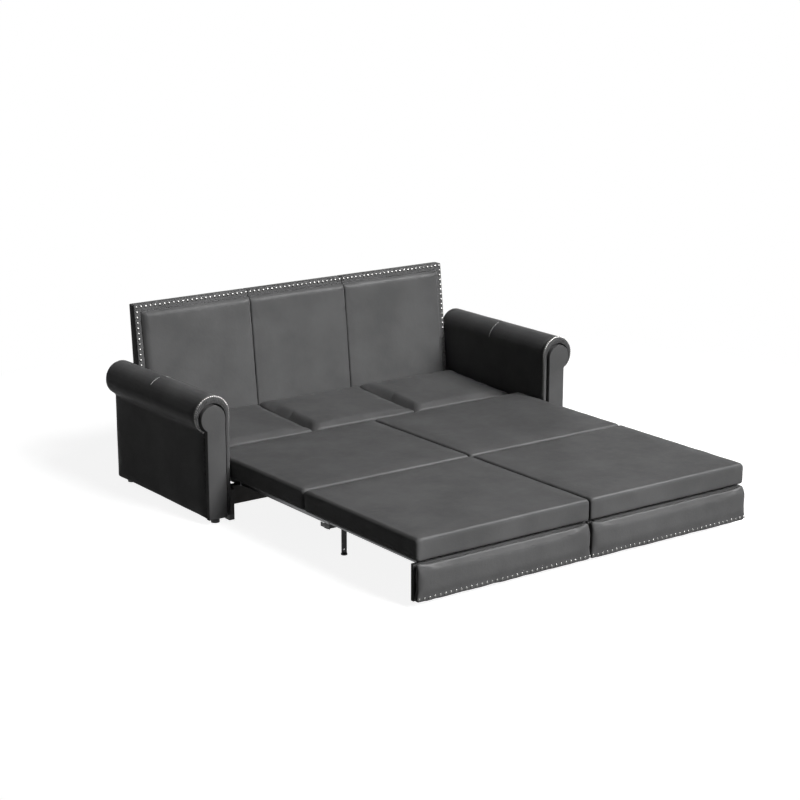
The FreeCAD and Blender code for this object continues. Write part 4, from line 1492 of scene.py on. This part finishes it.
@dataclass
class RearCushions:
    """The three loose cushions behind the panels, each with a full, rounded left side."""

    finishes: Finishes
    slack: float = 0.010
    corner: float = 0.016
    # The left side slopes down, less at the very front.
    left_drop: float = 0.046
    left_start: float = -0.015
    left_reach: float = 0.064
    left_along: tuple[float, float] = (-0.05, 0.55)
    left_full: float = 0.004
    front_hold: float = 0.45
    hold_along: tuple[float, float] = (0.7, 1.0)
    # The top eases down to the right and to the front.
    right_drop: float = 0.004
    right_along: tuple[float, float] = (0.4, 1.0)
    front_drop: float = 0.029
    tight_zone: float = 0.022
    folds: Folds = Folds(depth=0.0012, pitch=0.06, reach=0.06, swell=0.0024)
    seed: float = 2.5
    filling: Stuffing = Stuffing(voxel=0.008, cap=0.016)

    def build(self) -> None:
        """Swell one cushion and copy it to the three seats."""
        low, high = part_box("centre_rear_cushion")
        pattern = Bench.pillow("cushion_pattern", low, high, self.slack, self.corner, self.filling)
        for third in Third:
            low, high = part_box(third.word + "_rear_cushion")
            piece = Bench.copy(pattern, third.word + "_loose_cushion")
            Bench.fit(piece, low, high)
            self.settle(piece, low, high)
            self.folds.press(piece, LEVEL, third.value + self.seed)
            Bench.refine(piece)
            nodes = (third.word + "_rear_cushion",)
            self.finishes.cover(piece, third.word + "_seat_back", nodes, fill=0.75)
        Bench.discard(pattern)

    def settle(self, piece: bpy.types.Object, low: Vector, high: Vector) -> None:
        """Slope the left side, and ease the top down to its right side and its front.

        Args:
            piece: the cushion.
            low: its box's lowest corner.
            high: its box's highest corner.
        """
        points = Bench.points(piece)
        points[:, 0] = high.x - tighten(high.x - points[:, 0], self.tight_zone)
        points[:, 1] = low.y + tighten(points[:, 1] - low.y, self.tight_zone)
        share = (points - np.array(low)) / (np.array(high) - np.array(low))
        forward = 1.0 - share[:, 1]
        left = 1.0 - fade(points[:, 0] - low.x, self.left_start, self.left_reach)
        drop = self.left_drop * left * fade(forward, *self.left_along)
        drop *= 1.0 - self.front_hold * fade(forward, *self.hold_along)
        drop += self.right_drop * fade(share[:, 0], *self.right_along)
        drop += self.front_drop * np.clip(forward, 0.0, 1.0)
        points[:, 2] -= np.maximum(drop - self.left_full * left, 0.0) * share[:, 2]
        Bench.place(piece, points)


@dataclass
class BedPanels:
    """The padded panels of the two units, nearly flat with soft edges."""

    finishes: Finishes
    slack: float = 0.005
    edge: float = 0.010
    proud_side: float = 0.008
    proud_front: float = 0.013
    proud_inner: float = 0.0022
    tight_zone: float = 0.018
    folds: Folds = Folds(depth=0.0016, pitch=0.085, reach=0.04, swell=0.0008)
    front_seed: float = 17.0
    middle_seed: float = 41.0
    filling: Stuffing = Stuffing(voxel=0.010, cap=0.006)

    def room(self, side: Side, place: str) -> tuple[Vector, Vector]:
        """The space that a panel's cover fills.

        Args:
            side: which unit.
            place: middle or front.

        Returns:
            Its lowest and highest corner: the solid's, with the cover proud at the outer side and front.
        """
        low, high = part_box(f"{side.word}_{place}_cushion")
        if side is Side.LEFT:
            low.x -= self.proud_side
            high.x += self.proud_inner
        else:
            low.x -= self.proud_inner
            high.x += self.proud_side
        if place == "front":
            low.y -= self.proud_front
        return low, high

    def build(self) -> None:
        """Swell one panel for each place along the unit and copy it to both units."""
        for place, body in (("middle", "middle"), ("front", "unit")):
            low, high = self.room(Side.RIGHT, place)
            pattern = Bench.pillow("panel_pattern", low, high, self.slack, self.edge, self.filling)
            for side in Side:
                self.cover(pattern, side, place, f"{side.word}_{body}")
            Bench.discard(pattern)

    def cover(self, pattern: bpy.types.Object, side: Side, place: str, body: str) -> None:
        """Copy a panel to its unit.

        Args:
            pattern: the swollen form.
            side: which unit.
            place: middle or front.
            body: the body it moves with.
        """
        low, high = self.room(side, place)
        piece = Bench.copy(pattern, f"{side.word}_{place}_panel")
        if side is Side.LEFT:
            Bench.mirror(piece)
        Bench.fit(piece, low, high)
        points = Bench.points(piece)
        if side is Side.LEFT:
            points[:, 0] = high.x - tighten(high.x - points[:, 0], self.tight_zone)
        else:
            points[:, 0] = low.x + tighten(points[:, 0] - low.x, self.tight_zone)
        if place == "middle":
            points[:, 1] = high.y - tighten(high.y - points[:, 1], self.tight_zone)
        Bench.place(piece, points)
        seed = 3.0 * side.value + (self.front_seed if place == "front" else self.middle_seed)
        self.folds.press(piece, LEVEL, seed)
        Bench.fit(piece, low, high)
        Bench.refine(piece)
        self.finishes.cover(piece, body, (f"{side.word}_{place}_cushion",), fill=0.9)


@dataclass
class Fascias:
    """The padded fascias of the two units, with a sloped top and a row of nails along the foot."""

    finishes: Finishes
    nails: Nails
    shoulder: float = 0.032
    top_set: float = 0.017
    proud: float = 0.019
    raised: float = 0.004
    slack: float = 0.004
    filling: Stuffing = Stuffing(voxel=0.0065, cap=0.010)
    nail_pitch: float = 0.026
    nail_height: float = 0.0165
    foot_rise: float = 0.020
    foot_set: float = 0.007
    foot_hold: tuple[float, float] = (0.018, 0.060)
    soft_rounds: int = 6
    edge: float = 0.007
    folds: Folds = Folds(depth=0.0016, pitch=0.05, reach=0.09, swell=0.0016, swell_pitch=0.09)
    seed: float = 61.0

    def room(self, side: Side) -> tuple[Vector, Vector]:
        """The space that a fascia's cover fills, proud of its solid at the front.

        Args:
            side: which unit.

        Returns:
            Its lowest and highest corner.
        """
        low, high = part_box(side.word + "_fascia_pad")
        low.y -= self.proud
        low.z += self.raised
        return low, high

    def build(self) -> None:
        """Swell one fascia and copy it to both units."""
        low, high = self.room(Side.RIGHT)
        pattern = self.pattern(low, high)
        for side in Side:
            low, high = self.room(side)
            piece = Bench.copy(pattern, side.word + "_fascia_cover")
            if side is Side.LEFT:
                Bench.mirror(piece)
            Bench.fit(piece, low, high)
            self.folds.press(piece, UPRIGHT, self.seed + 5.0 * side.value)
            Bench.refine(piece)
            self.finishes.cover(piece, side.word + "_unit", (side.word + "_fascia_pad",), fill=0.9)
            self.nail_row(side, piece, low, high)
        Bench.discard(pattern)

    def pattern(self, low: Vector, high: Vector) -> bpy.types.Object:
        """Swell the right fascia once.

        Args:
            low: its box's lowest corner.
            high: its box's highest corner.

        Returns:
            The swollen form.
        """
        slack = self.slack
        profile = ((high.y, low.z + slack), (high.y, high.z - slack),
                   (low.y + slack + self.top_set, high.z - slack),
                   (low.y + slack, high.z - self.shoulder), (low.y + slack, low.z + self.foot_rise),
                   (low.y + slack + self.foot_set, low.z + slack))
        corners = [Vector((low.x + slack, y, z)) for y, z in profile]
        piece = Bench.sheet("fascia_pattern", corners)
        Bench.extrude(piece, Vector((high.x - low.x - 2.0 * slack, 0.0, 0.0)))
        Bench.bevel(piece, self.edge, 3, lambda middle: middle.y < high.y - HAIR)

        def ease(points: np.ndarray) -> np.ndarray:
            """Hold the foot, which is nailed to its board."""
            return fade(points[:, 2] - low.z, *self.foot_hold)

        Bench.inflate(piece, self.filling, ease)
        Bench.soften(piece, self.soft_rounds, ease)
        return piece

    def nail_row(self, side: Side, piece: bpy.types.Object, low: Vector, high: Vector) -> None:
        """Nails along the fascia's foot.

        Args:
            side: which unit.
            piece: the fascia's cover.
            low: its box's lowest corner.
            high: its box's highest corner.
        """
        surface = Surface(piece)
        count = round((high.x - low.x - self.nail_pitch) / self.nail_pitch)
        first = (low.x + high.x - count * self.nail_pitch) / 2
        places = []
        for step in range(count + 1):
            start = Vector((first + step * self.nail_pitch, low.y - AWAY, low.z + self.nail_height))
            spot, normal = surface.land(start, Vector((0.0, 1.0, 0.0)))
            places.append(stood(spot, (normal + Vector((0.0, -1.0, 0.0))).normalized()))
        self.nails.row(side.word + "_fascia_nails", places, side.word + "_unit")


@dataclass
class Underframe:
    """The rigid parts that keep their own solids: each gets its finish; the rails and front board seen in
    the gaps are near-black, painted shade of those gaps.
    """

    finishes: Finishes
    covered: tuple[str, ...] = ("fascia_board", "rear_apron")
    # Rails and board seen in the gaps under the bed: near-black wood as painted shade.
    painted_gap_shade: tuple[str, ...] = ("side_rail", "cross_rail", "front_board")

    def dress(self) -> None:
        """Give every node that still shows its material."""
        for part in frame["record"]["subparts"]:
            node = frame["nodes"][part["node"]]
            if node.hide_render:
                continue
            material = self.finishes.of(Slot(part["material_slot"]))
            if part["node"].endswith(self.covered):
                material = self.finishes.leather
            elif part["node"].endswith(self.painted_gap_shade):
                material = self.finishes.painted_gap_shade
            if not node.material_slots:
                node.data.materials.append(material)
            for holder in node.material_slots:
                holder.material = material
            LOG.info("%s: %s", part["node"], material.name)


@dataclass(frozen=True)
class Lamp:
    """A square soft lamp: its direction from the sofa, its distance, its side and its watts."""

    name: str
    way: Colour
    distance: float
    size: float
    power: float
    on_matt: bool = True


@dataclass
class Studio:
    """Pale floor, soft lamps and the camera."""

    target: Vector = field(default_factory=lambda: Vector((0.0, 0.0, 0.35)))
    lamps: tuple[Lamp, ...] = (Lamp("key_light", (0.27, -0.77, 0.58), 30.0, 15.0, 10900.0),
                               Lamp("edge_light", (0.58, -0.26, 0.77), 7.0, 2.0, 4600.0, on_matt=False))
    camera_place: Colour = (-5.2969, -7.0803, 2.7915)
    camera_turn: Colour = (75.31, 0.0, -36.01)
    lens: float = 90.09
    floor_half: float = 30.0
    floor_glow: float = 0.88
    floor_fade: tuple[float, float] = (1.9, 3.4)
    floor_dim: float = 0.13
    floor_pale: float = 0.55
    fill: float = 0.035

    def build(self) -> None:
        """Set up the view, the floor, the lamps and the world."""
        bpy.context.scene.view_settings.view_transform = "Standard"
        self.camera()
        self.floor()
        for lamp in self.lamps:
            self.hang(lamp)
        self.world()

    def camera(self) -> None:
        """The camera at the photograph's angle."""
        data = bpy.data.cameras.new("camera")
        data.lens = self.lens
        data.sensor_width = 36.0
        camera = bpy.data.objects.new("camera", data)
        camera.location = self.camera_place
        camera.rotation_euler = tuple(math.radians(value) for value in self.camera_turn)
        bpy.context.scene.collection.objects.link(camera)
        bpy.context.scene.camera = camera

    def hang(self, lamp: Lamp) -> None:
        """Hang a lamp so that it looks at the sofa.

        Args:
            lamp: what is hung, and where.
        """
        data = bpy.data.lights.new(lamp.name, "AREA")
        data.size = lamp.size
        data.energy = lamp.power
        way = Vector(lamp.way)
        hung = bpy.data.objects.new(lamp.name, data)
        hung.location = self.target + way.normalized() * lamp.distance
        hung.rotation_euler = way.to_track_quat("Z", "Y").to_euler()
        hung.visible_diffuse = lamp.on_matt
        bpy.context.scene.collection.objects.link(hung)

    @staticmethod
    def wire(tree: bpy.types.NodeTree, kind: str, *feeds: bpy.types.NodeSocket) -> bpy.types.Node:
        """Add a node and feed its first inputs.

        Args:
            tree: the node tree.
            kind: the node's type.
            feeds: the sockets that feed its inputs, in order.

        Returns:
            The new node.
        """
        node = tree.nodes.new(kind)
        for index, feed in enumerate(feeds):
            tree.links.new(feed, node.inputs[index])
        return node

    def seen(self, tree: bpy.types.NodeTree) -> bpy.types.NodeSocket:
        """1 for rays from the camera, in reflections and through glass.

        Args:
            tree: the node tree.

        Returns:
            The factor.
        """
        path = self.wire(tree, "ShaderNodeLightPath")
        most = path.outputs["Is Camera Ray"]
        for name in ("Is Glossy Ray", "Is Transmission Ray"):
            larger = self.wire(tree, "ShaderNodeMath", most, path.outputs[name])
            larger.operation = "MAXIMUM"
            most = larger.outputs[0]
        return most

    def floor(self) -> None:
        """A pale floor that keeps the sofa's shadow and throws little light back up."""
        bpy.ops.object.select_all(action="DESELECT")
        bpy.ops.mesh.primitive_plane_add(size=2.0 * self.floor_half)
        floor = Bench.fresh("studio_floor")
        material = bpy.data.materials.new("pale_floor")
        material.use_nodes = True
        tree = material.node_tree
        tree.nodes.clear()
        join = partial(self.wire, tree)
        dim = join("ShaderNodeBsdfDiffuse")
        dim.inputs["Color"].default_value = (*[self.floor_dim] * 3, 1.0)
        pale = join("ShaderNodeBsdfDiffuse")
        pale.inputs["Color"].default_value = (*[self.floor_pale] * 3, 1.0)
        glow = join("ShaderNodeEmission")
        glow.inputs["Strength"].default_value = self.floor_glow
        white = join("ShaderNodeEmission")
        near = join("ShaderNodeAddShader", pale.outputs[0], glow.outputs[0])
        away = join("ShaderNodeVectorMath", join("ShaderNodeTexCoord").outputs["Object"])
        away.operation = "LENGTH"
        far = join("ShaderNodeMapRange", away.outputs["Value"])
        far.inputs["From Min"].default_value, far.inputs["From Max"].default_value = self.floor_fade
        shown = join("ShaderNodeMixShader", far.outputs[0], near.outputs[0], white.outputs[0])
        mix = join("ShaderNodeMixShader", self.seen(tree), dim.outputs[0], shown.outputs[0])
        join("ShaderNodeOutputMaterial", mix.outputs[0])
        floor.data.materials.append(material)

    def world(self) -> None:
        """A dim fill that shows white to the camera and in reflections."""
        world = bpy.data.worlds.new("studio")
        bpy.context.scene.world = world
        world.use_nodes = True
        tree = world.node_tree
        tree.nodes.clear()
        shades = []
        for strength in (self.fill, 1.0):
            shade = self.wire(tree, "ShaderNodeBackground")
            shade.inputs["Color"].default_value = (1.0, 1.0, 1.0, 1.0)
            shade.inputs["Strength"].default_value = strength
            shades.append(shade.outputs[0])
        mix = self.wire(tree, "ShaderNodeMixShader", self.seen(tree), *shades)
        self.wire(tree, "ShaderNodeOutputWorld", mix.outputs[0])


def main() -> None:
    """Build and dress the sofa bed, then the studio."""
    logging.basicConfig(level=logging.INFO, format="%(message)s")
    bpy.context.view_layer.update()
    finishes = Finishes()
    nails = Nails(finishes)
    Arms(finishes, nails).build()
    Back(finishes, nails).build()
    RearCushions(finishes).build()
    BedPanels(finishes).build()
    Fascias(finishes, nails).build()
    nails.done()
    Underframe(finishes).dress()
    Studio().build()


if __name__ == "__main__":
    main()
